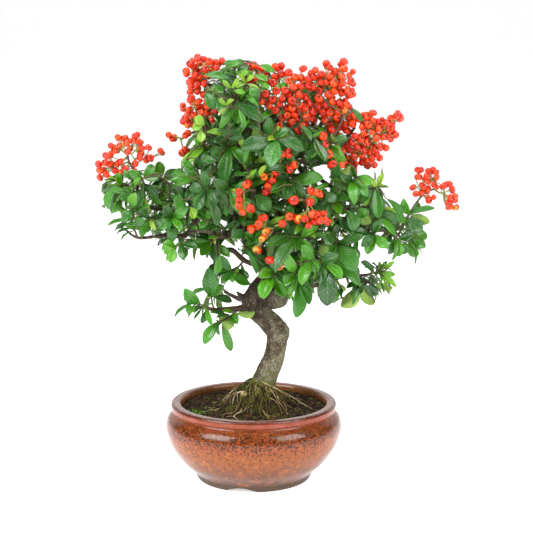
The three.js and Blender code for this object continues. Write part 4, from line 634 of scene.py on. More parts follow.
def build(name, mesh, materials, nodes=()):
    """Makes the piece from its gathered mesh, in metres, and hangs it on the frame."""
    data = bpy.data.meshes.new(name)
    points = np.concatenate(mesh.points) * MM + np.array(POT_AXIS)
    data.from_pydata(points.tolist(), [], mesh.faces)
    data.polygons.foreach_set("material_index", mesh.kinds)
    data.polygons.foreach_set("use_smooth", [not flat for flat in mesh.flat])
    look = data.attributes.new("look", "FLOAT_VECTOR", "POINT")
    look.data.foreach_set("vector", np.concatenate(mesh.looks).ravel())
    data.update()
    piece = linked(name, data)
    for material in materials:
        data.materials.append(material)
    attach(piece, "root")
    if nodes:
        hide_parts(*nodes)


# Curves and tubes.


def smooth_route(rows, step, ease=1.0):
    """Points every step or so along a curve through the rows, whose columns may be many. An ease
    of 1 rounds its corners most, and 0 leaves them sharp."""
    rows = np.asarray(rows, float)
    ends = np.vstack((2 * rows[0] - rows[1], rows, 2 * rows[-1] - rows[-2]))
    route = []
    for before, start, end, after in zip(ends, ends[1:], ends[2:], ends[3:]):
        count = max(1, int(round(np.linalg.norm((end - start)[:3]) / step)))
        for i in range(count):
            t = i / count
            leave = ease * (end - before) / 2 + (1 - ease) * (end - start)
            arrive = ease * (after - start) / 2 + (1 - ease) * (end - start)
            route.append(
                (2 * t ** 3 - 3 * t ** 2 + 1) * start
                + (t ** 3 - 2 * t ** 2 + t) * leave
                + (3 * t ** 2 - 2 * t ** 3) * end
                + (t ** 3 - t ** 2) * arrive
            )
    route.append(rows[-1])
    return np.array(route)


def wood_route(rows, step, ease=1.0):
    """A route through rows of wood, each (across, height, depth, radius)."""
    return smooth_route([tuple(place(row)) + (row[3],) for row in rows], step, ease)


def band_faces(rings, sides):
    """Faces between rings of points, each ring and the next."""
    faces = []
    for i in range(rings - 1):
        for k in range(sides):
            a = i * sides + k
            b = i * sides + (k + 1) % sides
            faces.append((a, b, b + sides, a + sides))
    return faces


def tube(route, radii, sides):
    """Points and faces of a closed round tube along the route."""
    ahead = np.vstack((route[1:], route[-1:]))
    behind = np.vstack((route[:1], route[:-1]))
    side = np.array((0.31, 0.17, 0.93))
    turns = np.linspace(0, 2 * math.pi, sides, endpoint=False)
    points = []
    for centre, radius, along in zip(route, radii, ahead - behind):
        along = unit(along)
        side = unit(side - along * side.dot(along))
        third = np.cross(along, side)
        ring = np.outer(np.cos(turns), side) + np.outer(np.sin(turns), third)
        points.append(centre + radius * ring)
    last = (len(route) - 1) * sides
    ends = [tuple(reversed(range(sides))), tuple(range(last, last + sides))]
    return np.concatenate(points), band_faces(len(route), sides) + ends


def turned(profile, sides):
    """Points and faces of a profile turned round the upright axis and closed onto itself."""
    turns = np.linspace(0, 2 * math.pi, sides, endpoint=False)
    points = []
    for radius, height in profile:
        ring = np.column_stack((
            radius * np.cos(turns), radius * np.sin(turns), np.full(sides, height)))
        points.append(ring)
    last = (len(profile) - 1) * sides
    closing = [(last + k, last + (k + 1) % sides, (k + 1) % sides, k) for k in range(sides)]
    return np.concatenate(points), band_faces(len(profile), sides) + closing


# Materials.


def colour(code):
    """The linear colour of a six-digit code."""
    parts = [int(code[i:i + 2], 16) / 255 for i in (0, 2, 4)]
    return tuple(p / 12.92 if p <= 0.04045 else ((p + 0.055) / 1.055) ** 2.4 for p in parts) + (1,)


class Shader:
    """A material with a principled shader, and short calls for its nodes."""

    def __init__(self, name, **constants):
        self.material = bpy.data.materials.new(name)
        self.material.use_nodes = True
        self.tree = self.material.node_tree
        self.shader = self.tree.nodes["Principled BSDF"]
        for key, value in constants.items():
            self.shader.inputs[key.replace("_", " ")].default_value = value
        coordinates = self.node("ShaderNodeTexCoord").outputs["Object"]
        moved = self.node("ShaderNodeVectorMath", {0: coordinates, 1: POT_AXIS}, operation="SUBTRACT")
        self.place = moved.outputs[0]

    def node(self, kind, inputs=(), **settings):
        made = self.tree.nodes.new(kind)
        for key, value in settings.items():
            setattr(made, key, value)
        for key, value in dict(inputs).items():
            if isinstance(value, bpy.types.NodeSocket):
                self.tree.links.new(value, made.inputs[key])
            else:
                made.inputs[key].default_value = value
        return made

    def noise(self, size, detail=3.0, roughness=0.55, stretch=(1, 1, 1)):
        """Noise from 0 to 1 whose spots are about size millimetres across."""
        scaled = self.node("ShaderNodeMapping", {
            "Vector": self.place, "Scale": [s / (size * MM) for s in stretch]})
        made = self.node("ShaderNodeTexNoise", {
            "Vector": scaled.outputs[0], "Scale": 1.0, "Detail": detail, "Roughness": roughness})
        return made.outputs["Fac"]

    def ramp(self, value, stops):
        made = self.node("ShaderNodeValToRGB", {"Fac": value})
        elements = made.color_ramp.elements
        while len(elements) < len(stops):
            elements.new(0.5)
        for element, (position, shade) in zip(elements, stops):
            element.position = position
            element.color = colour(shade) if isinstance(shade, str) else (shade, shade, shade, 1)
        return made.outputs["Color"]

    def maths(self, operation, *values):
        made = self.node("ShaderNodeMath", enumerate(values), operation=operation)
        return made.outputs[0]

    def times(self, first, second):
        return self.maths("MULTIPLY", first, second)

    def plus(self, first, second):
        return self.maths("ADD", first, second)

    def minus(self, first, second):
        return self.maths("SUBTRACT", first, second)

    def share(self, value, low, high):
        """Runs from 0 at low to 1 at high, and no further."""
        made = self.node("ShaderNodeMapRange", {
            "Value": value, "From Min": low, "From Max": high, "To Min": 0.0, "To Max": 1.0})
        return made.outputs[0]

    def mix(self, share, first, second):
        made = self.node("ShaderNodeMix", data_type="RGBA")
        sockets = (made.inputs[0], made.inputs[6], made.inputs[7])
        for socket, value in zip(sockets, (share, first, second)):
            if isinstance(value, bpy.types.NodeSocket):
                self.tree.links.new(value, socket)
            else:
                socket.default_value = colour(value) if isinstance(value, str) else value
        return made.outputs[2]

    def look(self):
        """The three numbers that each point carries."""
        carried = self.node("ShaderNodeAttribute", attribute_name="look")
        parts = self.node("ShaderNodeSeparateXYZ", {"Vector": carried.outputs["Vector"]})
        return parts.outputs

    def along(self, axis):
        """Distance from the middle of the pot's underside along the axis, X, Y or Z."""
        parts = self.node("ShaderNodeSeparateXYZ", {"Vector": self.place})
        return self.maths("DIVIDE", parts.outputs[axis], MM)

    def reach(self):
        """Distance from the pot's axis."""
        level = self.node("ShaderNodeVectorMath", {0: self.place, 1: (1, 1, 0)}, operation="MULTIPLY")
        length = self.node("ShaderNodeVectorMath", {0: level.outputs[0]}, operation="LENGTH")
        return self.maths("DIVIDE", length.outputs["Value"], MM)

    def set(self, name, value):
        self.tree.links.new(value, self.shader.inputs[name])

    def bump(self, height, distance, strength=1.0):
        """Relief of distance millimetres."""
        made = self.node("ShaderNodeBump", {
            "Height": height, "Distance": distance * MM, "Strength": strength})
        self.set("Normal", made.outputs["Normal"])


def make_glaze():
    s = Shader("glaze", Roughness=0.22, Coat_Weight=0.15, Coat_Roughness=0.05, Specular_IOR_Level=0.32)
    height = s.along("Z")
    reach = s.reach()
    wander = s.noise(14, 4)
    raised = s.plus(height, s.times(s.minus(wander, 0.5), 10.0))
    body = s.ramp(s.share(raised, 0, 60), (
        (0.1, "572c20"), (0.25, "6c371f"), (0.42, "894a23"), (0.6, "9f5627"), (0.76, "a04219"),
        (0.95, "8e3a1b")))
    cloud = s.noise(4, 5, 0.65)
    body = s.mix(s.ramp(cloud, ((0.42, 0.0), (0.66, 0.5))), body, "854519")
    warm = s.noise(6, 3)
    body = s.mix(s.ramp(warm, ((0.5, 0.0), (0.68, 0.5))), body, "bd6b2a")
    band = s.ramp(s.share(raised, 0, 70), (
        (0.1, 0.1), (0.45, 0.2), (0.57, 0.4), (0.66, 0.9), (0.75, 0.85), (0.82, 0.3), (0.86, 0.0)))
    upper = s.share(raised, 49, 53)
    dull = s.ramp(s.noise(1.5, 2), ((0.5, 0.0), (0.56, 0.85)))
    body = s.mix(s.times(upper, dull), body, "5a3a12")
    specks = s.noise(1.7, 3, 0.65)
    dense = s.plus(specks, s.times(band, 0.15))
    body = s.mix(s.ramp(dense, ((0.6, 0.0), (0.65, 0.9))), body, "2a1f12")
    fine = s.noise(0.9, 2)
    denser = s.plus(fine, s.times(band, 0.1))
    body = s.mix(s.ramp(denser, ((0.6, 0.0), (0.68, 0.65))), body, "3a2415")
    lip = s.mix(s.noise(3, 4), "762c16", "a04c28")
    # Painted highlight: pinkish patches of sheen on the lip.
    lip = s.mix(s.ramp(s.noise(9, 3), ((0.5, 0.0), (0.66, 0.5))), lip, "a4544a")
    lip = s.mix(s.ramp(specks, ((0.6, 0.0), (0.66, 0.7))), lip, "3a2012")
    lip = s.mix(s.share(height, 63.4, 65), lip, "4a2018")
    body = s.mix(s.share(height, 57.8, 59.4), body, lip)
    top = s.mix(s.ramp(s.noise(2.5, 4), ((0.4, 0.0), (0.6, 1.0))), "6d4238", "8d6a5c")
    edge = s.plus(s.share(reach, 67.6, 68.6), s.share(reach, 64.2, 63.4))
    edge = s.times(edge, s.ramp(s.noise(6, 3), ((0.4, 0.5), (0.6, 0.95))))
    top = s.mix(edge, top, "4a1c10")
    body = s.mix(s.share(height, 64.6, 65.4), body, top)
    inner = s.times(s.share(reach, 63.2, 62.4), s.share(height, 50, 55))
    body = s.mix(inner, body, s.mix(s.noise(3, 4), "4a2810", "a0683a"))
    foot = s.ramp(s.share(raised, 0, 12), ((0.4, 1.0), (0.75, 0.0)))
    foot = s.times(foot, s.share(height, 9, 5))
    bare = s.mix(s.noise(2.5, 4), "43372a", "65503e")
    s.set("Base Color", s.mix(foot, body, bare))
    s.set("Roughness", s.plus(s.times(foot, 0.5), s.times(wander, 0.36)))
    s.bump(s.plus(cloud, s.times(specks, 0.6)), 0.25, 0.5)
    return s.material


def make_soil():
    s = Shader("soil", Roughness=0.95, Specular_IOR_Level=0.2)
    crumbs = s.noise(1.6, 5, 0.7)
    base = s.ramp(crumbs, ((0.3, "0f0a06"), (0.5, "2a1c12"), (0.64, "4a3522"), (0.78, "785938")))
    green = s.ramp(s.noise(6, 4), ((0.52, 0.0), (0.6, 0.6)))
    s.set("Base Color", s.mix(green, base, s.mix(crumbs, "161c08", "57661f")))
    s.bump(crumbs, 0.9)
    return s.material


def make_grain():
    s = Shader("soil_grain", Roughness=0.9, Specular_IOR_Level=0.25)
    tone = s.look()["Z"]
    base = s.ramp(tone, (
        (0.0, "120c07"), (0.45, "2b1d12"), (0.72, "503924"), (0.88, "7d5e3b"), (0.97, "a06232")))
    s.set("Base Color", s.mix(s.noise(0.7, 2), base, "1a120b"))
    s.bump(s.noise(0.5, 2), 0.2)
    return s.material


def make_moss():
    s = Shader("moss", Roughness=0.9, Specular_IOR_Level=0.2)
    look = s.look()
    base = s.ramp(look["Y"], ((0.0, "141a05"), (0.55, "444f10"), (1.0, "97a03a")))
    s.set("Base Color", s.mix(s.ramp(look["Z"], ((0.5, 0.0), (1.0, 0.7))), base, "b0ad55"))
    return s.material


def make_root():
    s = Shader("root", Roughness=0.75, Specular_IOR_Level=0.3)
    tone = s.look()["Z"]
    base = s.ramp(tone, (
        (0.0, "2c1d10"), (0.4, "60492a"), (0.65, "988750"), (0.85, "bda27a"), (1.0, "d6bfae")))
    mossy = s.ramp(s.noise(4, 4), ((0.46, 0.0), (0.58, 0.75)))
    s.set("Base Color", s.mix(mossy, base, "4d5a1a"))
    s.bump(s.noise(0.9, 3), 0.2)
    return s.material


def make_bark():
    s = Shader("bark", Roughness=0.88, Specular_IOR_Level=0.25)
    patches = s.noise(7, 5, 0.62, (1, 1, 0.8))
    grey = s.ramp(patches, ((0.32, "382e24"), (0.48, "574a3a"), (0.6, "786b56"), (0.74, "9b917b")))
    lit = s.plus(s.noise(16, 2), s.times(s.along("X"), 0.006))
    pale = s.ramp(lit, ((0.5, 0.0), (0.64, 0.75)))
    grey = s.mix(pale, grey, s.mix(s.noise(2.2, 4), "6f6b47", "b5b195"))
    fine = s.noise(0.9, 5, 0.75, (1, 1, 0.7))
    grey = s.mix(s.ramp(fine, ((0.4, 0.95), (0.53, 0.0))), grey, "1c150e")
    flecks = s.noise(1.6, 3, 0.6)
    grey = s.mix(s.ramp(flecks, ((0.62, 0.0), (0.68, 0.7))), grey, "c9c5b4")
    height = s.along("Z")
    # Painted shade of the crown on the wood: darker from height 118 up to 158, and less dark again from
    # 180 to 212.
    painted_shade = s.times(s.share(height, 118, 158), 0.5)
    top = s.times(s.share(height, 180, 212), 0.35)
    grey = s.mix(s.minus(painted_shade, top), grey, "1e1712")
    moss = s.plus(s.times(s.share(height, 108, 76), 0.55), s.noise(5, 4))
    grey = s.mix(s.ramp(moss, ((0.78, 0.0), (0.9, 0.8))), grey, "5c6421")
    s.set("Base Color", grey)
    s.bump(s.plus(fine, patches), 0.8)
    return s.material


def make_twig():
    s = Shader("twig", Roughness=0.7, Specular_IOR_Level=0.35)
    tone = s.look()["Z"]
    base = s.ramp(tone, ((0.0, "2a2019"), (0.5, "57432f"), (0.8, "6f7a3c"), (1.0, "93a04a")))
    s.set("Base Color", s.mix(s.ramp(s.noise(1.5, 4), ((0.5, 0.0), (0.7, 0.5))), base, "7d725c"))
    s.bump(s.noise(0.9, 3, 0.6, (1, 1, 0.4)), 0.25)
    return s.material


def make_leaf(name, shades, rib, vein, roughness, specular):
    """shades runs from the oldest leaves to the youngest."""
    s = Shader(name, Roughness=roughness, Specular_IOR_Level=specular)
    across, along, tone = s.look()
    base = s.ramp(tone, shades)
    patch = s.noise(5, 3)
    base = s.mix(s.times(patch, 0.35), base, shades[0][1])
    off = s.maths("ABSOLUTE", across)
    slanted = s.minus(s.times(along, 9.0), s.times(off, 2.2))
    wave = s.maths("ABSOLUTE", s.minus(s.maths("FRACT", slanted), 0.5))
    veins = s.ramp(wave, ((0.0, 1.0), (0.12, 0.0)))
    base = s.mix(s.times(veins, 0.28), base, vein)
    ribs = s.ramp(off, ((0.0, 0.3), (0.03, 0.2), (0.08, 0.0)))
    s.set("Base Color", s.mix(ribs, base, rib))
    relief = s.plus(s.times(veins, 0.7), ribs)
    s.bump(s.minus(s.times(s.noise(2, 3), 1.2), relief), 0.4)
    return s.material


def make_berry():
    s = Shader("berry", Roughness=0.17, Specular_IOR_Level=0.5)
    _, along, tone = s.look()
    base = s.ramp(tone, (
        (0.0, "c01400"), (0.35, "e02a02"), (0.72, "f04a0a"), (0.88, "f07a1c"), (1.0, "c8a02c")))
    base = s.mix(s.ramp(along, ((0.0, 0.0), (0.75, 0.0), (0.97, 0.7))), base, "7a1406")
    base = s.mix(s.ramp(s.noise(2.2, 3), ((0.55, 0.0), (0.8, 0.3))), base, "f0601c")
    s.set("Base Color", base)
    s.bump(s.noise(1.5, 2), 0.06)
    return s.material


def make_plain(name, first, second, size, roughness):
    s = Shader(name, Roughness=roughness)
    s.set("Base Color", s.mix(s.noise(size, 3), first, second))
    s.bump(s.noise(size, 2), 0.15)
    return s.material


GLAZE = make_glaze()
SOIL = make_soil()
GRAIN = make_grain()
MOSS = make_moss()
ROOT = make_root()
BARK = make_bark()
TWIG = make_twig()
LEAF_UPPER = make_leaf("leaf_upper", (
    (0.0, "114600"), (0.3, "2c7800"), (0.6, "50a000"), (0.82, "78b40c"), (1.0, "a0c82c")),
    "64a030", "347a08", 0.26, 0.75)
LEAF_UNDER = make_leaf("leaf_under", (
    (0.0, "5f8038"), (0.5, "7da04a"), (1.0, "a6c45c")), "a8c070", "6f9048", 0.5, 0.25)
BERRY = make_berry()
CALYX = make_plain("calyx", "1d120b", "4a2c18", 0.6, 0.8)
PEDICEL = make_plain("pedicel", "7d8a3a", "a39a4c", 2.5, 0.55)

# Materials of a shoot and of a bunch, and the numbers by which their meshes call them.
SPRAY_MATERIALS = (LEAF_UPPER, LEAF_UNDER, TWIG)
SPRAY_UPPER, SPRAY_UNDER, SPRAY_TWIG = range(3)
BUNCH_MATERIALS = (BERRY, CALYX, PEDICEL, TWIG)
BUNCH_SKIN, BUNCH_CALYX, BUNCH_STALK, BUNCH_FOOT = range(4)


# Parts already in place, for bending the next ones clear of them.


class Neighbours:
    """Boxes and search trees of the parts in place."""

    def __init__(self):
        self.lows = np.empty((0, 3))
        self.highs = np.empty((0, 3))
        self.trees = []

    def keep(self, points, faces):
        """Notes a part as being in place."""
        self.lows = np.vstack((self.lows, points.min(0)))
        self.highs = np.vstack((self.highs, points.max(0)))
        self.trees.append(BVHTree.FromPolygons(points.tolist(), faces))

    def is_clear(self, points, faces):
        """Whether a part would touch none of those in place."""
        near = np.flatnonzero(
            (self.lows <= points.max(0)).all(1) & (self.highs >= points.min(0)).all(1))
        if not len(near):
            return True
        tree = BVHTree.FromPolygons(points.tolist(), faces)
        return not any(self.trees[i].overlap(tree) for i in near)


neighbours = Neighbours()

# Routes of the stems that leaves may grow from.
wood = []

# Spots of the front view that sprigs mustn't hide, each (across, height, depth, radius).
shown = []


# Leaves.

# Half width of the blade along its length, as shares of both.
LEAF_OUTLINE = np.array((
    (0, 0.07), (0.05, 0.08), (0.1, 0.22), (0.2, 0.48), (0.33, 0.75), (0.47, 0.94), (0.6, 1),
    (0.73, 0.93), (0.84, 0.74), (0.92, 0.5), (0.97, 0.28), (1, 0.08)))
LEAF_THICKNESS = 0.42


def grid_faces(rows, columns):
    """Faces between the points of an open grid, given row by row."""
    return [
        (i * columns + k, i * columns + k + 1, (i + 1) * columns + k + 1, (i + 1) * columns + k)
        for i in range(rows - 1) for k in range(columns - 1)
    ]


class LeafGrid:
    """Rows along a blade and columns across it, the faces between them, and a rougher grid of
    five rows and three columns for finding overlaps."""

    def __init__(self, rows, columns, rough_rows, rough_columns):
        self.share, self.wide = LEAF_OUTLINE[list(rows)].T
        self.columns = np.array(columns)
        self.rough = np.ix_(rough_rows, rough_columns)
        across = len(columns)
        count = len(rows) * across
        upper = grid_faces(len(rows), across)
        lower = [tuple(corner + count for corner in reversed(face)) for face in upper]
        edge = (
            list(range(across))
            + [i * across + across - 1 for i in range(1, len(rows))]
            + [count - 1 - i for i in range(1, across)]
            + [i * across for i in range(len(rows) - 2, 0, -1)]
        )
        rim = [(b, a, a + count, b + count) for a, b in zip(edge, edge[1:] + edge[:1])]
        self.faces = upper + lower + rim
        self.kinds = [SPRAY_UPPER] * len(upper) + [SPRAY_UNDER] * (len(lower) + len(rim))
        self.flat = [False] * (len(upper) + len(lower)) + [True] * len(rim)


FINE_LEAF = LeafGrid(range(12), (-1, -0.68, -0.32, 0, 0.32, 0.68, 1), (2, 4, 6, 8, 11), (0, 3, 6))
PLAIN_LEAF = LeafGrid((0, 2, 3, 5, 7, 9, 11), (-1, -0.5, 0, 0.5, 1), (1, 2, 3, 4, 6), (0, 2, 4))
ROUGH_FACES = grid_faces(5, 3)


def leaf_sheet(grid, foot, tip, width, face, form):
    """The blade's middle sheet as a grid of points, and the direction of its upper side.
    form is (arch, fold, curl, sway, phase of the margin's wave)."""
    arch, fold, curl, sway, phase = form
    length = np.linalg.norm(tip - foot)
    along = (tip - foot) / length
    side = unit(np.cross(along, face))
    up = np.cross(side, along)
    share = grid.share
    u = np.outer(grid.wide, grid.columns) * width / 2
    hump = 4 * share * (1 - share)
    lift = (arch * length * hump)[:, None] + fold * np.abs(u)
    lift -= curl * width * (np.abs(grid.columns) ** 3)[None, :] * grid.wide[:, None]
    wave = np.sin(7 * share + phase)[:, None] * np.sign(grid.columns) + np.cos(9 * share)[:, None]
    lift += 0.25 * wave * (grid.columns ** 2)
    drift = sway * length * hump
    points = (
        foot
        + along * (length * share)[:, None, None]
        + side * (u + drift[:, None])[..., None]
        + up * lift[..., None]
    )
    return points, up


def add_leaf(mesh, grid, sheet, up, tone):
    """Adds a closed blade round the sheet, thickest at its midrib."""
    points = sheet.reshape(-1, 3)
    rows = len(grid.share)
    thin = np.tile(1 - 0.55 * np.abs(grid.columns), rows)
    half = (LEAF_THICKNESS / 2) * thin[:, None] * up
    look = np.column_stack((
        np.tile(grid.columns, rows), np.repeat(grid.share, len(grid.columns)), np.full(len(points), tone)))
    both = np.vstack((points + half, points - half))
    mesh.add(both, grid.faces, grid.kinds, np.vstack((look, look)), grid.flat)


def put_leaf(mesh, grid, make, form, tone, must=False, is_allowed=None):
    """Adds the leaf that make(bend) gives, at the first bend that is clear of what is in place.
    A leaf that must stay is added unbent where none is clear. Returns whether it was added."""
    forward = -1 if tone < 0 else 1

    def shaped(bend):
        foot, tip, width, face = make(bend)
        sheet, up = leaf_sheet(grid, foot, tip, width, face * forward, form)
        return sheet, up, width, sheet[grid.rough].reshape(-1, 3)

    for bend in BENDS:
        sheet, up, width, rough = shaped(bend)
        if is_allowed and not is_allowed(rough):
            continue
        if neighbours.is_clear(rough, ROUGH_FACES):
            break
    else:
        if not must:
            return False
        sheet, up, width, rough = shaped(0)
    neighbours.keep(rough, ROUGH_FACES)
    if grid is FINE_LEAF:
        shown.extend(seen(point) + (0.45 * width,) for point in rough[4::3]
                     if point[1] < SHOWN_DEPTH)
    add_leaf(mesh, grid, sheet, up, abs(tone))
    return True


def nearest_on(route, point):
    """The place on the route that is nearest to the point."""
    starts = route[:-1]
    runs = route[1:] - starts
    share = ((point - starts) * runs).sum(1) / (runs ** 2).sum(1)
    near = starts + runs * np.clip(share, 0, 1)[:, None]
    return near[np.argmin(((near - point) ** 2).sum(1))]


def leaf_form(random):
    """A leaf's arch, fold, curl, sway and phase, as leaf_sheet takes them."""
    return (
        0.24 * random() - 0.02, 0.2 + 0.5 * random(), 0.1 * random(), 0.14 * (random() - 0.5),
        6 * random())


def forward_face(random):
    """The way that a named leaf's upper side faces: forward, turned a little aside and up."""
    return np.array((1.1 * (random() - 0.5), -1, 0.15 + 0.8 * random()))


def build_spray(name, mesh):
    """Builds a shoot's piece, in place of the CAD node of that name where there is one."""
    node = "shoot_" + name
    build("spray_" + name, mesh, SPRAY_MATERIALS,
          (node,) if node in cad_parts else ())


def make_shoot(name, twig, leaves, number):
    """A twig with its named leaves, and smaller ones between them by a rule."""
    random = random_series("shoots", number)
    mesh = Mesh()
    route = smooth_route([place(row) for row in twig], 2)
    wood.append(route)
    mesh.add_twig(route, SHOOT_TWIG, SPRAY_TWIG, 0.35 + 0.4 * random())
    for row in leaves:
        foot_across, foot_height, tip_across, tip_height, width, tip_depth = row[:6]
        tone = row[6] if len(row) > 6 else 0.05 + 0.6 * random() ** 1.5
        foot = nearest_on(route, place((foot_across, foot_height, twig[-1][2])))
        face = forward_face(random)

        def make(bend):
            tip = place((tip_across, tip_height, foot[1] + tip_depth + bend))
            return foot, tip, width, face

        put_leaf(mesh, FINE_LEAF, make, leaf_form(random), tone, True)
    fill_shoot(mesh, route, random, FILL_LEAVES, FILL_LENGTH)
    build_spray(name, mesh)


def fill_shoot(mesh, route, random, count, length, is_allowed=None):
    """Small leaves that stand round the twig."""
    along = unit(route[-1] - route[0])
    side = unit(np.cross(along, (0, 0, 1)))
    over = np.cross(side, along)
    for i in range(count):
        foot = route[int((0.25 + 0.75 * (i + 0.5) / count) * (len(route) - 1))]
        size = length * (0.7 + 0.7 * random())
        width = size * (0.21 + 0.1 * random())
        turn = i * TURN_OF_A_LEAF + 6 * random()
        tone = 0.62 * random()
        if random() < YOUNG_SHARE:
            tone = 0.75 + 0.25 * random()
            size *= 0.7
        sag = 0.15 + 0.85 * random()

        def make(bend):
            way = 0.85 * (side * math.cos(turn) + over * math.sin(turn)) + 0.5 * along
            way = way + np.array((0, bend * 0.05, -sag))
            face = np.array((0, 0, 0.8)) + unit(np.array((foot[0], foot[1] - 30, 1)))
            return foot, foot + unit(way) * size, width, face

        put_leaf(mesh, PLAIN_LEAF, make, leaf_form(random), tone, False, is_allowed)


def make_ring_shoot(name, start, end, count, number):
    """A twig that rises a little on its way, with large leaves round it and small ones between."""
    random = random_series("ring shoots", number)
    middle = ((start[0] + end[0]) / 2, (start[1] + end[1]) / 2 + 3, (start[2] + end[2]) / 2)
    mesh = Mesh()
    route = smooth_route([place(row) for row in (start, middle, end)], 2)
    wood.append(route)
    mesh.add_twig(route, RING_TWIG, SPRAY_TWIG, 0.35 + 0.4 * random())
    fill_shoot(mesh, route, random, count, RING_LENGTH)
    fill_shoot(mesh, route, random, FILL_LEAVES, FILL_LENGTH)
    build_spray(name, mesh)


# Sprigs that fill the crown, and single leaves at its front.


def is_inside(across, height):
    """Whether a place of the front view is in the crown's outline, and in none of its gaps."""
    (x0, z0), (x1, z1) = CANOPY.T, np.roll(CANOPY, -1, 0).T
    spans = (z0 > height) != (z1 > height)
    x0, z0, x1, z1 = x0[spans], z0[spans], x1[spans], z1[spans]
    crossed = np.count_nonzero(across < x0 + (height - z0) * (x1 - x0) / (z1 - z0))
    in_gap = (((across, height) - GAPS[:, :2]) ** 2 / GAPS[:, 2:] ** 2).sum(1) < 1
    return crossed % 2 == 1 and not in_gap.any()


def half_depth(across, height):
    """Half the depth of the crown at a place of the front view."""
    up = (height - CANOPY_HEIGHT) / CANOPY_HALF_HEIGHT
    share = 1 - (across / CANOPY_HALF_WIDTH) ** 2 - up ** 2
    return CANOPY_HALF_DEPTH * math.sqrt(max(share, 0.05))


def nearest_wood(points, spot):
    """The one of the points that is nearest to the spot."""
    return points[np.argmin(((points - spot) ** 2).sum(1))]


def joining_twig(start, end):
    """A route that rises a little between its ends."""
    middle = (start + end) / 2 + np.array((0, 0, 0.12 * np.linalg.norm(end - start)))
    return smooth_route((start, middle, end), 2.5)


def make_lone_leaves():
    """Single leaves before the crown, each on a thin twig from the nearest wood."""
    random = random_series("lone leaves")
    mesh = Mesh()
    points = np.concatenate(wood)
    for across, height, tip_across, tip_height, width, tone in LONE_LEAVES:
        foot = place((across, height, -0.8 * half_depth(across, height)))
        face = forward_face(random)

        def make(bend):
            tip = place((tip_across, tip_height, foot[1] - 3 + bend))
            return foot, tip, width, face

        if put_leaf(mesh, FINE_LEAF, make, leaf_form(random), tone):
            route = joining_twig(nearest_wood(points, foot), foot)
            mesh.add_twig(route, LONE_TWIG, SPRAY_TWIG, 0.5)
    build("leaves_front", mesh, SPRAY_MATERIALS)


def sprig_ends(random):
    """Spots spread evenly through the crown, where sprigs end."""
    low, high = CANOPY.min(0), CANOPY.max(0)
    ends = np.empty((0, 3))
    for _ in range(SPRIG_TRIES):
        across = low[0] + (high[0] - low[0]) * random()
        height = low[1] + (high[1] - low[1]) * random()
        depth = (2 * random() - 1) * half_depth(across, height)
        if not is_inside(across, height) or random() < THINNING * abs(across) / THINNING_WIDTH:
            continue
        end = place((across, height, depth))
        if not (((ends - end) ** 2).sum(1) < SPRIG_SPACING ** 2).any():
            ends = np.vstack((ends, end))
    return ends


def make_sprigs():
    """Grows the sprigs, those nearest the wood first, each from the nearest wood or sprig."""
    random = random_series("sprigs")
    spots = np.array(shown + list(SHOWN_WOOD))

    def is_allowed(rough):
        for point in rough[7::3]:
            across, height, depth = seen(point)
            if not is_inside(across, height):
                return False
            near = (spots[:, 0] - across) ** 2 + (spots[:, 1] - height) ** 2 < spots[:, 3] ** 2
            if (near & (spots[:, 2] > depth - 1)).any():
                return False
        return True

    points = np.concatenate(wood)
    ends = sprig_ends(random)
    far = [np.linalg.norm(nearest_wood(points, end) - end) for end in ends]
    meshes = {"left": Mesh(), "middle": Mesh(), "right": Mesh()}
    for end in ends[np.argsort(far)]:
        start = nearest_wood(points, end)
        if not SPRIG_REACH[0] < np.linalg.norm(end - start) < SPRIG_REACH[1]:
            continue
        route = joining_twig(start, end)
        mesh = meshes["left" if end[0] < -15 else "right" if end[0] > 45 else "middle"]
        mesh.add_twig(route, SPRIG_TWIG, SPRAY_TWIG, 0.1 + 0.5 * random())
        fill_shoot(mesh, route[-7:], random, SPRIG_LEAVES, SPRIG_LENGTH, is_allowed)
        points = np.vstack((points, route[1:]))
    for name, mesh in meshes.items():
        build("sprigs_" + name, mesh, SPRAY_MATERIALS)


# Berries.

BERRY_RINGS = 8
BERRY_SIDES = 14
CALYX_LOBES = 5
LOBE_SPREAD = 0.42
# Corners of a lobe: (turn aside, in LOBE_SPREADs, distance from the berry's axis, height).
LOBE_CORNERS = ((0, 0.46, 0.95), (-1, 0.2, 0.86), (1, 0.2, 0.86), (0, 0.26, 0.7))
LOBE_FACES = ((0, 2, 1), (0, 1, 3), (0, 3, 2), (1, 2, 3))
ROUGH_BALL_SIDES = 8


def berry_shape():
    """A unit berry, a little flat at both ends, with a dimple at each. Its foot is at -1."""
    heights = np.linspace(0, math.pi, BERRY_RINGS + 1)
    points = [(0, 0, -0.78)]
    alongs = [0]
    for angle in heights[1:-1]:
        flat = -math.cos(angle)
        radius = math.sin(angle) ** 0.88
        level = 0.9 * flat * (1 - 0.1 * abs(flat) ** 6)
        for k in range(BERRY_SIDES):
            turn = 2 * math.pi * k / BERRY_SIDES
            points.append((radius * math.cos(turn), radius * math.sin(turn), level))
            alongs.append(angle / math.pi)
    points.append((0, 0, 0.74))
    alongs.append(1)
    faces = []
    for k in range(BERRY_SIDES):
        b = (k + 1) % BERRY_SIDES
        faces.append((0, 1 + b, 1 + k))
        for i in range(BERRY_RINGS - 2):
            low = 1 + i * BERRY_SIDES
            faces.append((low + k, low + b, low + BERRY_SIDES + b, low + BERRY_SIDES + k))
        last = 1 + (BERRY_RINGS - 2) * BERRY_SIDES
        faces.append((last + k, last + b, len(points) - 1))
    return np.array(points), faces, np.array(alongs)


def calyx_shape():
    """Small lobes round the dimple at the far end."""
    points = []
    faces = []
    for k in range(CALYX_LOBES):
        turn = 2 * math.pi * k / CALYX_LOBES
        faces += [tuple(len(points) + corner for corner in face) for face in LOBE_FACES]
        for aside, reach, level in LOBE_CORNERS:
            angle = turn + aside * LOBE_SPREAD
            points.append((reach * math.cos(angle), reach * math.sin(angle), level))
    return np.array(points), faces


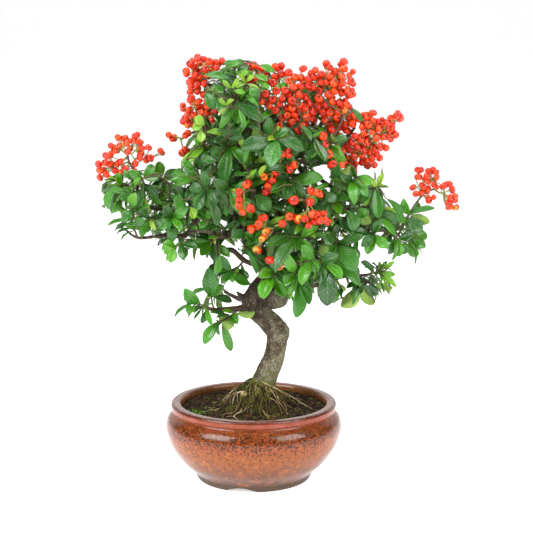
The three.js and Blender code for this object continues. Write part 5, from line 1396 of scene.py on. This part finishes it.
BERRY_POINTS, BERRY_FACES, BERRY_ALONG = berry_shape()
CALYX_CORNERS, CALYX_FACES = calyx_shape()


def add_berry(mesh, centre, radius, far, tone, turn):
    """far is the direction of the berry's far end, and turn is how far it is turned about that."""
    side = unit(np.cross(far, (0.3, 0.5, 0.81)))
    third = np.cross(far, side)
    first = side * math.cos(turn) + third * math.sin(turn)
    axes = np.array((first, np.cross(far, first), far)) * radius
    look = np.zeros_like(BERRY_POINTS)
    look[:, 1] = BERRY_ALONG
    look[:, 2] = tone
    mesh.add(centre + BERRY_POINTS @ axes, BERRY_FACES, BUNCH_SKIN, look)
    calyx = centre + CALYX_CORNERS @ axes
    mesh.add(calyx, CALYX_FACES, BUNCH_CALYX, (0, 0, tone), True)


def settled(across, height, depth, radius, taken):
    """The first place from depth backwards where the berry touches none of those taken."""
    while True:
        centre = place((across, height, depth))
        if all(np.linalg.norm(centre - other) > 0.97 * (radius + reach) for other, reach in taken):
            return centre
        depth += 0.8


def gathered(points, count):
    """The middles of count groups of near points, and each point's group."""
    middles = points[np.linspace(0, len(points) - 1, count).astype(int)]
    for _ in range(8):
        group = np.argmin(((points[:, None] - middles) ** 2).sum(2), 1)
        middles = np.array([
            points[group == i].mean(0) if (group == i).any() else middles[i] for i in range(count)])
    return middles, group


def berry_rows(name, berries, random):
    """Every berry's row, and its side of the dome: -1 is the front and 1 the back."""
    rows = [(row, -1) for row in berries]
    for row in berries:
        if random() < BACK_BERRIES:
            rows.append(((row[0] + 5 * (random() - 0.5), row[1] + 5 * (random() - 0.5)), 1))
        if name in FULL_BUNCHES:
            rows.append(((row[0] + 7 * (random() - 0.5), row[1] + 7 * (random() - 0.5)), -0.2))
    return rows


def make_bunch(name, stalk, depth, berries, number):
    """A dome of berries round its front ones, each on a stalk from the nearest hub."""
    random = random_series("bunches", number)
    mesh = Mesh()
    route = smooth_route([place(row) for row in stalk], 2)
    mesh.add_twig(route, BUNCH_TWIG, BUNCH_FOOT, 0.5)
    middle = np.mean([row[:2] for row in berries], 0)
    spread = max(np.linalg.norm(np.array(row[:2]) - middle) for row in berries) + 4
    taken = []
    tones = []
    for row, towards in berry_rows(name, berries, random):
        radius = row[2] if len(row) > 2 else BERRY_RADII.get(name, BERRY_RADIUS) * (0.88 + 0.28 * random())
        tones.append(row[3] if len(row) > 3 else 0.1 + 0.62 * random())
        edge = np.linalg.norm(np.array(row[:2]) - middle) / spread
        dome = math.sqrt(max(0, 1 - edge ** 2))
        start = depth[0] + towards * depth[1] * dome + 3 * (random() - 0.5)
        taken.append((settled(row[0], row[1], start, radius, taken), radius))
    points = np.array([centre for centre, _ in taken])
    middles, group = gathered(points, math.ceil(len(points) / 6))
    hubs = []
    for one in middles:
        foot = nearest_on(route[len(route) // 4:], one)
        hub = one + 0.42 * (foot - one)
        hubs.append(hub)
        bend = (foot + hub) / 2 + np.array((0, 0, -0.08 * np.linalg.norm(hub - foot)))
        mesh.add_twig(smooth_route((foot, bend, hub), 3), HUB_TWIG, BUNCH_STALK, 0.5)
    for (centre, radius), tone, number in zip(taken, tones, group):
        foot = hubs[number]
        way = unit(centre - foot)
        jolt = 0.8 * (np.array([random(), random(), random()]) - 0.5)
        far = unit(0.7 * way + 0.8 * unit(centre - CANOPY_MIDDLE) + jolt)
        add_berry(mesh, centre, radius, far, tone, 6 * random())
        if depth[0] < SHOWN_DEPTH:
            shown.append(seen(centre) + (radius + 1,))
        start = centre - far * radius * 0.8
        bend = foot + 0.55 * (start - foot) - far * radius * 0.4
        mesh.add_twig(smooth_route((foot, bend, start), 3), BERRY_TWIG, BUNCH_STALK, tone)
        ends = centre + np.outer((-0.7, 0.7), far) * radius
        ball, faces = tube(ends, (0.8 * radius,) * 2, ROUGH_BALL_SIDES)
        neighbours.keep(ball, faces)
    node = "berries_" + name
    build("corymb_" + name, mesh, BUNCH_MATERIALS,
          (node,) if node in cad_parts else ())


# Pot.


def make_pot():
    belly = smooth_route([(radius, 0, height) for radius, height in POT_BELLY], 1.5)
    lip = smooth_route([(radius, 0, height) for radius, height in POT_LIP], 0.6)
    inside = smooth_route([(radius, 0, height) for radius, height in POT_INSIDE], 3)
    under = ((DRAIN_RADIUS, FOOT_HEIGHT), (FOOT_INNER_RADIUS + 0.6, FOOT_HEIGHT))
    wall = [(row[0], row[2]) for part in (belly, lip, inside) for row in part]
    profile = [*POT_FOOT, *wall, *under]
    points, faces = turned(profile, POT_SIDES)
    low = points[:, 2] < FOOT_HEIGHT
    radius = np.hypot(points[:, 0], points[:, 1])
    ring = low & (radius > FOOT_INNER_RADIUS)
    for angle in ARCH_ANGLES:
        middle = np.array((math.cos(math.radians(angle)), math.sin(math.radians(angle))))
        ahead = points[:, :2] @ middle > 0
        off = np.abs(points[:, :2] @ np.array((-middle[1], middle[0])))
        arch = ARCH_HEIGHT * np.clip(1 - (off / (ARCH_WIDTH / 2)) ** 2, 0, 1)
        lifted = ring & ahead
        points[lifted, 2] = np.maximum(points[lifted, 2], arch[lifted])
    mesh = Mesh()
    mesh.add(points, faces, 0, (0, 0, 0))
    build("pot_glazed", mesh, (GLAZE,), ("pot",))


# Soil, its grains and the moss.


def beside_foot(radius, turn):
    """The place at a distance and turn from the middle of the trunk's foot."""
    x = CROWN_PLACE[0] + radius * math.cos(turn)
    y = CROWN_PLACE[1] + radius * math.sin(turn)
    return x, y


def crown_level(x, y):
    """Height of the mound of soil and roots round the trunk's foot, without its lumps."""
    radius = math.hypot(x - CROWN_PLACE[0], y - CROWN_PLACE[1])
    turn = math.atan2(y - CROWN_PLACE[1], x - CROWN_PLACE[0])
    radius /= 1 + 0.09 * math.sin(3 * turn + 2) + 0.06 * math.sin(7 * turn)
    radii, heights = zip(*CROWN_PROFILE)
    lump = noise.noise(Vector((x / 7, y / 7, 21))) * 3.2 * min(1, radius / 12)
    ridge = 1.6 * math.sin(9 * turn + 1) * max(0, 1 - abs(radius - 26) / 16)
    return float(np.interp(radius, radii, heights)) + lump + ridge


def soil_level(x, y):
    """Height of the soil's surface, the mound included."""
    lump = noise.noise(Vector((x / 14, y / 14, 3))) * 1.5
    crumb = noise.noise(Vector((x / 2.4, y / 2.4, 7))) * 0.8
    bump = noise.noise(Vector((x / 5, y / 5, 11))) * 1.6
    rise = 1.2 * max(0, 1 - math.hypot(x, y) / 50)
    mound = crown_level(x, y) - 1.4 + bump
    return max(SOIL_HEIGHT + lump + rise, mound) + crumb


def make_soil_body():
    sides = SOIL_SIDES
    turns = np.linspace(0, 2 * math.pi, sides, endpoint=False)
    points = [(0, 0, soil_level(0, 0))]
    for i in range(1, SOIL_RINGS + 1):
        radius = SOIL_RADIUS * i / SOIL_RINGS
        for turn in turns:
            x, y = radius * math.cos(turn), radius * math.sin(turn)
            points.append((x, y, soil_level(x, y)))
    for radius, height in SOIL_UNDER:
        points += [(radius * math.cos(t), radius * math.sin(t), height) for t in turns]
    points.append((0, 0, SOIL_BASE))
    faces = [(0, 1 + k, 1 + (k + 1) % sides) for k in range(sides)]
    bands = SOIL_RINGS + len(SOIL_UNDER) - 1
    for i in range(bands):
        for k in range(sides):
            a, b = 1 + i * sides + k, 1 + i * sides + (k + 1) % sides
            faces.append((a, a + sides, b + sides, b))
    last = 1 + bands * sides
    faces += [(len(points) - 1, last + (k + 1) % sides, last + k) for k in range(sides)]
    mesh = Mesh()
    mesh.add(points, faces, 0, (0, 0, 0))
    build("soil_body", mesh, (SOIL,), ("soil",))


GRAIN_CORNERS = np.array([
    (a, b, c) for a in (-1, 1) for b in (-1, 1) for c in (-1, 1)], float) * 0.72
GRAIN_FACES = [(0, 1, 3, 2), (4, 6, 7, 5), (0, 4, 5, 1), (2, 3, 7, 6), (0, 2, 6, 4), (1, 5, 7, 3)]


def make_grains():
    """Crumbs of soil, each an uneven block, strewn evenly."""
    random = random_series("grains")
    mesh = Mesh()
    for _ in range(GRAINS):
        radius = (SOIL_RADIUS - 1.2) * math.sqrt(random())
        turn = 2 * math.pi * random()
        x, y = radius * math.cos(turn), radius * math.sin(turn)
        size = 0.3 + 0.85 * random() ** 2.4
        jolt = np.array([random() for _ in range(24)]).reshape(8, 3) - 0.5
        shape = GRAIN_CORNERS * (1 + 0.45 * jolt)
        shape = shape * size * (0.8 + 0.5 * random(), 0.8 + 0.9 * random(), 0.7)
        spin = 6.3 * random()
        spun = shape.copy()
        spun[:, 0] = shape[:, 0] * math.cos(spin) - shape[:, 1] * math.sin(spin)
        spun[:, 1] = shape[:, 0] * math.sin(spin) + shape[:, 1] * math.cos(spin)
        foot = (x, y, soil_level(x, y) + 0.25 * size)
        mesh.add(spun + foot, GRAIN_FACES, 0, (0, 0, random()), True)
    build("soil_grains", mesh, (GRAIN,))


# Roots that lie on the mound and the soil.


def make_roots():
    """Thin roots that spread from the trunk's foot, one long root and a knob."""
    random = random_series("thin roots")
    mesh = Mesh()
    for i in range(THIN_ROOTS):
        angle = 2 * math.pi * (i + 1.5 * random()) / THIN_ROOTS
        start = 5 + 22 * random() ** 1.5
        reach = start + 12 + 26 * random()
        thick = 0.24 + 0.34 * random() ** 3
        swing = 0.9 * (random() - 0.5)
        lift = 1.8 * random() ** 2
        rows = []
        for k in range(12):
            share = k / 11
            radius = start + (reach - start) * share
            turn = angle + swing * share ** 1.5 + 0.07 * math.sin(9 * share + 2 * i)
            x, y = beside_foot(radius, turn)
            if math.hypot(x, y) > SOIL_RADIUS - 2:
                break
            sink = 1.6 * max(0, share - 0.85, 0.15 - share) / 0.15
            z = soil_level(x, y) + 0.5 * thick + lift * math.sin(math.pi * share) - sink
            rows.append((x, y, z, thick * (1.2 - 0.7 * share)))
        if len(rows) < 5:
            continue
        route = smooth_route(rows, 1.6)
        mesh.add_tube(route[:, :3], route[:, 3], 6, 0, random())
    route = smooth_route([place(row) for row in LONG_ROOT], 1.6)
    mesh.add_tube(route, np.linspace(0.4, 0.25, len(route)), 6, 0, 0.9)
    shares = np.linspace(-0.96, 0.96, 9)
    route = place(KNOB) + np.outer(shares, (KNOB_RADIUS, 0.4 * KNOB_RADIUS, 0.5 * KNOB_RADIUS))
    mesh.add_tube(route, KNOB_RADIUS * np.sqrt(1 - shares ** 2), 12, 0, 0.85)
    build("roots", mesh, (ROOT,))


# Wood.


def root_strands():
    """Routes and radii of the thick roots that leave the trunk's foot and sink into the mound."""
    random = random_series("thick roots")
    strands = []
    for i in range(THICK_ROOTS):
        angle = 2 * math.pi * (i + 0.6 * random()) / THICK_ROOTS
        reach = 15 + 16 * random()
        thick = 1.1 + 1.3 * random()
        rows = []
        for k in range(6):
            share = k / 5
            middle = np.array((8.5, 0)) * (1 - share) + np.array(CROWN_PLACE) * share
            radius = 7.5 + (reach - 7.5) * share
            turn = angle + 0.25 * math.sin(3 * share + i)
            x = middle[0] + radius * math.cos(turn)
            y = middle[1] + radius * math.sin(turn)
            z = (84 if k == 0 else soil_level(x, y)) - 0.2 * thick - 1.2 * share
            rows.append((x, y, z, thick * (1 - 0.55 * share)))
        strands.append(smooth_route(rows, 2))
    return strands


def bark_relief(x, y, z):
    """Height of the bark's relief at a place."""
    fissure = 1 - abs(noise.noise(Vector((x / 3.2, y / 3.2, z / 14)))) * 2
    lump = noise.noise(Vector((x / 9, y / 9, z / 12)))
    crumb = noise.noise(Vector((x / 1.4, y / 1.4, z / 2.4)))
    return 0.35 * (fissure - 0.6) + 0.55 * lump + 0.25 * crumb


def make_trunk():
    """The trunk, stub, scar, thick roots and thick branches as one skin with bark relief."""
    mesh = Mesh()
    for rows, sides, ease in ((TRUNK, 28, 0.35), (STUB, 28, 1), (SCAR, 8, 1)):
        route = wood_route(rows, 3, ease)
        mesh.add_tube(route[:, :3], route[:, 3], sides)
    for strand in root_strands():
        mesh.add_tube(strand[:, :3], strand[:, 3], 10)
    for name in THICK_BRANCHES:
        route = wood_route(BRANCHES[name], 3)
        mesh.add_tube(route[:, :3], np.maximum(0.85 * route[:, 3], 0.95), 12)
    data = bpy.data.meshes.new("trunk_rough")
    data.from_pydata(np.concatenate(mesh.points).tolist(), [], mesh.faces)
    rough = linked("trunk_rough", data)
    remesh = rough.modifiers.new("voxels", "REMESH")
    remesh.mode = "VOXEL"
    remesh.voxel_size = VOXEL
    smooth = rough.modifiers.new("smooth", "SMOOTH")
    smooth.factor = 0.5
    smooth.iterations = 2
    evaluated = rough.evaluated_get(bpy.context.evaluated_depsgraph_get())
    joined = bpy.data.meshes.new_from_object(evaluated)
    bpy.data.objects.remove(rough)
    count = len(joined.vertices)
    points = np.empty(count * 3)
    normals = np.empty(count * 3)
    joined.vertices.foreach_get("co", points)
    joined.vertices.foreach_get("normal", normals)
    points = points.reshape(-1, 3)
    normals = normals.reshape(-1, 3)
    relief = np.array([bark_relief(*point) for point in points])
    points = points + normals * relief[:, None]
    faces = [tuple(face.vertices) for face in joined.polygons]
    finished = Mesh()
    finished.add(points, faces, 0, (0, 0, 0))
    build("trunk_bark", finished, (BARK,), ("trunk",))


def make_branches():
    """The thinner branches. Every branch is kept as wood that leaves grow from."""
    mesh = Mesh()
    for i, (name, rows) in enumerate(BRANCHES.items()):
        route = wood_route(rows, 2)
        centres = route[:, :3]
        rough, rough_faces = tube(centres[::3], route[::3, 3], 5)
        neighbours.keep(rough, rough_faces)
        wood.append(centres)
        if name in THICK_BRANCHES:
            continue
        ripple = np.array([noise.noise(Vector(centre / 5)) for centre in centres])
        collar = 1 + 0.45 * np.exp(-np.arange(len(route)) / 2.5)
        radii = route[:, 3] * collar * (1 + 0.22 * ripple)
        mesh.add_tube(centres, radii, 10, 0, 0.1 + 0.35 * (i % 3) / 2)
    build("branches", mesh, (TWIG,))


WEED_FACES = [(0, 1, 2, 3), (7, 6, 5, 4), (0, 4, 5, 1), (1, 5, 6, 2), (2, 6, 7, 3), (3, 7, 4, 0)]


def make_moss_tufts():
    """Moss, thickest on the mound, and a patch of small weeds."""
    random = random_series("moss")
    mesh = Mesh()
    count = 0
    while count < MOSS_TUFTS:
        radius = 58 * random() ** 0.75
        turn = 2 * math.pi * random()
        x, y = beside_foot(radius, turn)
        if math.hypot(x, y) > SOIL_RADIUS - 1:
            continue
        left = 0.35 * max(0, -math.cos(turn - 0.7)) * (1 if radius < 30 else 0)
        thick = noise.noise(Vector((x / 6, y / 6, 1.5))) + left + 0.45 * (0.35 - radius / 46)
        if thick < 0.12:
            continue
        count += 1
        height = 0.5 + 0.9 * random()
        lean = np.array((random() - 0.5, random() - 0.5, 0)) * height
        foot = np.array((x, y, soil_level(x, y) - 0.2))
        turns = 2.1 * np.arange(3) + 6 * random()
        corners = foot + 0.3 * np.column_stack((np.cos(turns), np.sin(turns), np.zeros(3)))
        points = np.vstack((corners, foot + lean + (0, 0, height)))
        look = np.zeros((4, 3))
        look[3, 1] = 1
        look[:, 2] = random()
        mesh.add(points, [(0, 1, 3), (1, 2, 3), (2, 0, 3), (2, 1, 0)], 0, look)
    for _ in range(WEEDS):
        x, y = WEED_PLACE + 12 * (np.array((random(), random())) + (random(), random()) - 1)
        size = 0.4 + 0.4 * random()
        turn = 6.3 * random()
        side = size * np.array((math.cos(turn), math.sin(turn), 0.3))
        along = 1.6 * size * np.array((-math.sin(turn), math.cos(turn), 0.5 + random()))
        foot = np.array((x, y, soil_level(x, y)))
        corners = np.array((foot, foot + along + side, foot + 2 * along, foot + along - side))
        points = np.vstack((corners, corners - (0, 0, 0.25)))
        mesh.add(points, WEED_FACES, 1, (0, 0, 0.5 + 0.35 * random()), True)
    build("moss", mesh, (MOSS, LEAF_UPPER))


make_pot()
make_soil_body()
make_grains()
make_roots()
make_trunk()
make_branches()
make_moss_tufts()
for number, (key, (stalk, depth, berries)) in enumerate(BUNCHES.items()):
    make_bunch(key, stalk, depth, berries, number)
for number, (key, (twig, leaves)) in enumerate(SHOOTS.items()):
    make_shoot(key, twig, leaves, number)
for number, (key, (start, end, count)) in enumerate(RING_SHOOTS.items()):
    make_ring_shoot(key, start, end, count, number)
make_lone_leaves()
make_sprigs()


# Floor, light and camera.


def make_floor():
    """A pale floor that sweeps up behind the plant."""
    turns = np.linspace(0, math.pi / 2, 12)
    bend = [
        (FLOOR_DEPTH + FLOOR_BEND * math.sin(turn), FLOOR_BEND - FLOOR_BEND * math.cos(turn))
        for turn in turns
    ]
    runs = [(-FLOOR_DEPTH, 0), *bend, (FLOOR_DEPTH + FLOOR_BEND, FLOOR_TOP)]
    data = bpy.data.meshes.new("floor")
    points = [(x, y, z) for y, z in runs for x in (-FLOOR_SIDE, FLOOR_SIDE)]
    faces = [(2 * i, 2 * i + 1, 2 * i + 3, 2 * i + 2) for i in range(len(runs) - 1)]
    data.from_pydata(points, [], faces)
    data.polygons.foreach_set("use_smooth", [True] * len(faces))
    s = Shader("floor", Roughness=0.9, Base_Color=(0.88, 0.88, 0.88, 1), Specular_IOR_Level=0.1,
               Emission_Color=(1, 1, 1, 1), Emission_Strength=FLOOR_GLOW)
    data.materials.append(s.material)
    linked("floor", data)


def make_light(name, place_of_light, size, power):
    light = bpy.data.lights.new(name, "AREA")
    light.shape = "RECTANGLE"
    light.size, light.size_y = size
    light.energy = power
    lamp = linked(name, light)
    lamp.location = place_of_light
    aim = Vector(LIT_PLACE) - Vector(place_of_light)
    lamp.rotation_euler = aim.to_track_quat("-Z", "Y").to_euler()


def make_camera():
    camera = bpy.data.cameras.new("camera")
    camera.lens = CAMERA_LENS
    camera.sensor_width = CAMERA_SENSOR
    eye = linked("camera", camera)
    eye.location = POT_AXIS + Vector((EYE_ACROSS, -EYE_DISTANCE, EYE_HEIGHT)) * MM
    eye.rotation_euler = (math.pi / 2 - CAMERA_PITCH, 0, 0)
    bpy.context.scene.camera = eye


make_floor()
for row in LIGHTS:
    make_light(*row)
world = bpy.data.worlds.new("studio")
world.use_nodes = True
world.node_tree.nodes["Background"].inputs["Color"].default_value = (1, 1, 1, 1)
world.node_tree.nodes["Background"].inputs["Strength"].default_value = WORLD_LIGHT
bpy.context.scene.world = world
bpy.context.scene.view_settings.view_transform = "Standard"
make_camera()
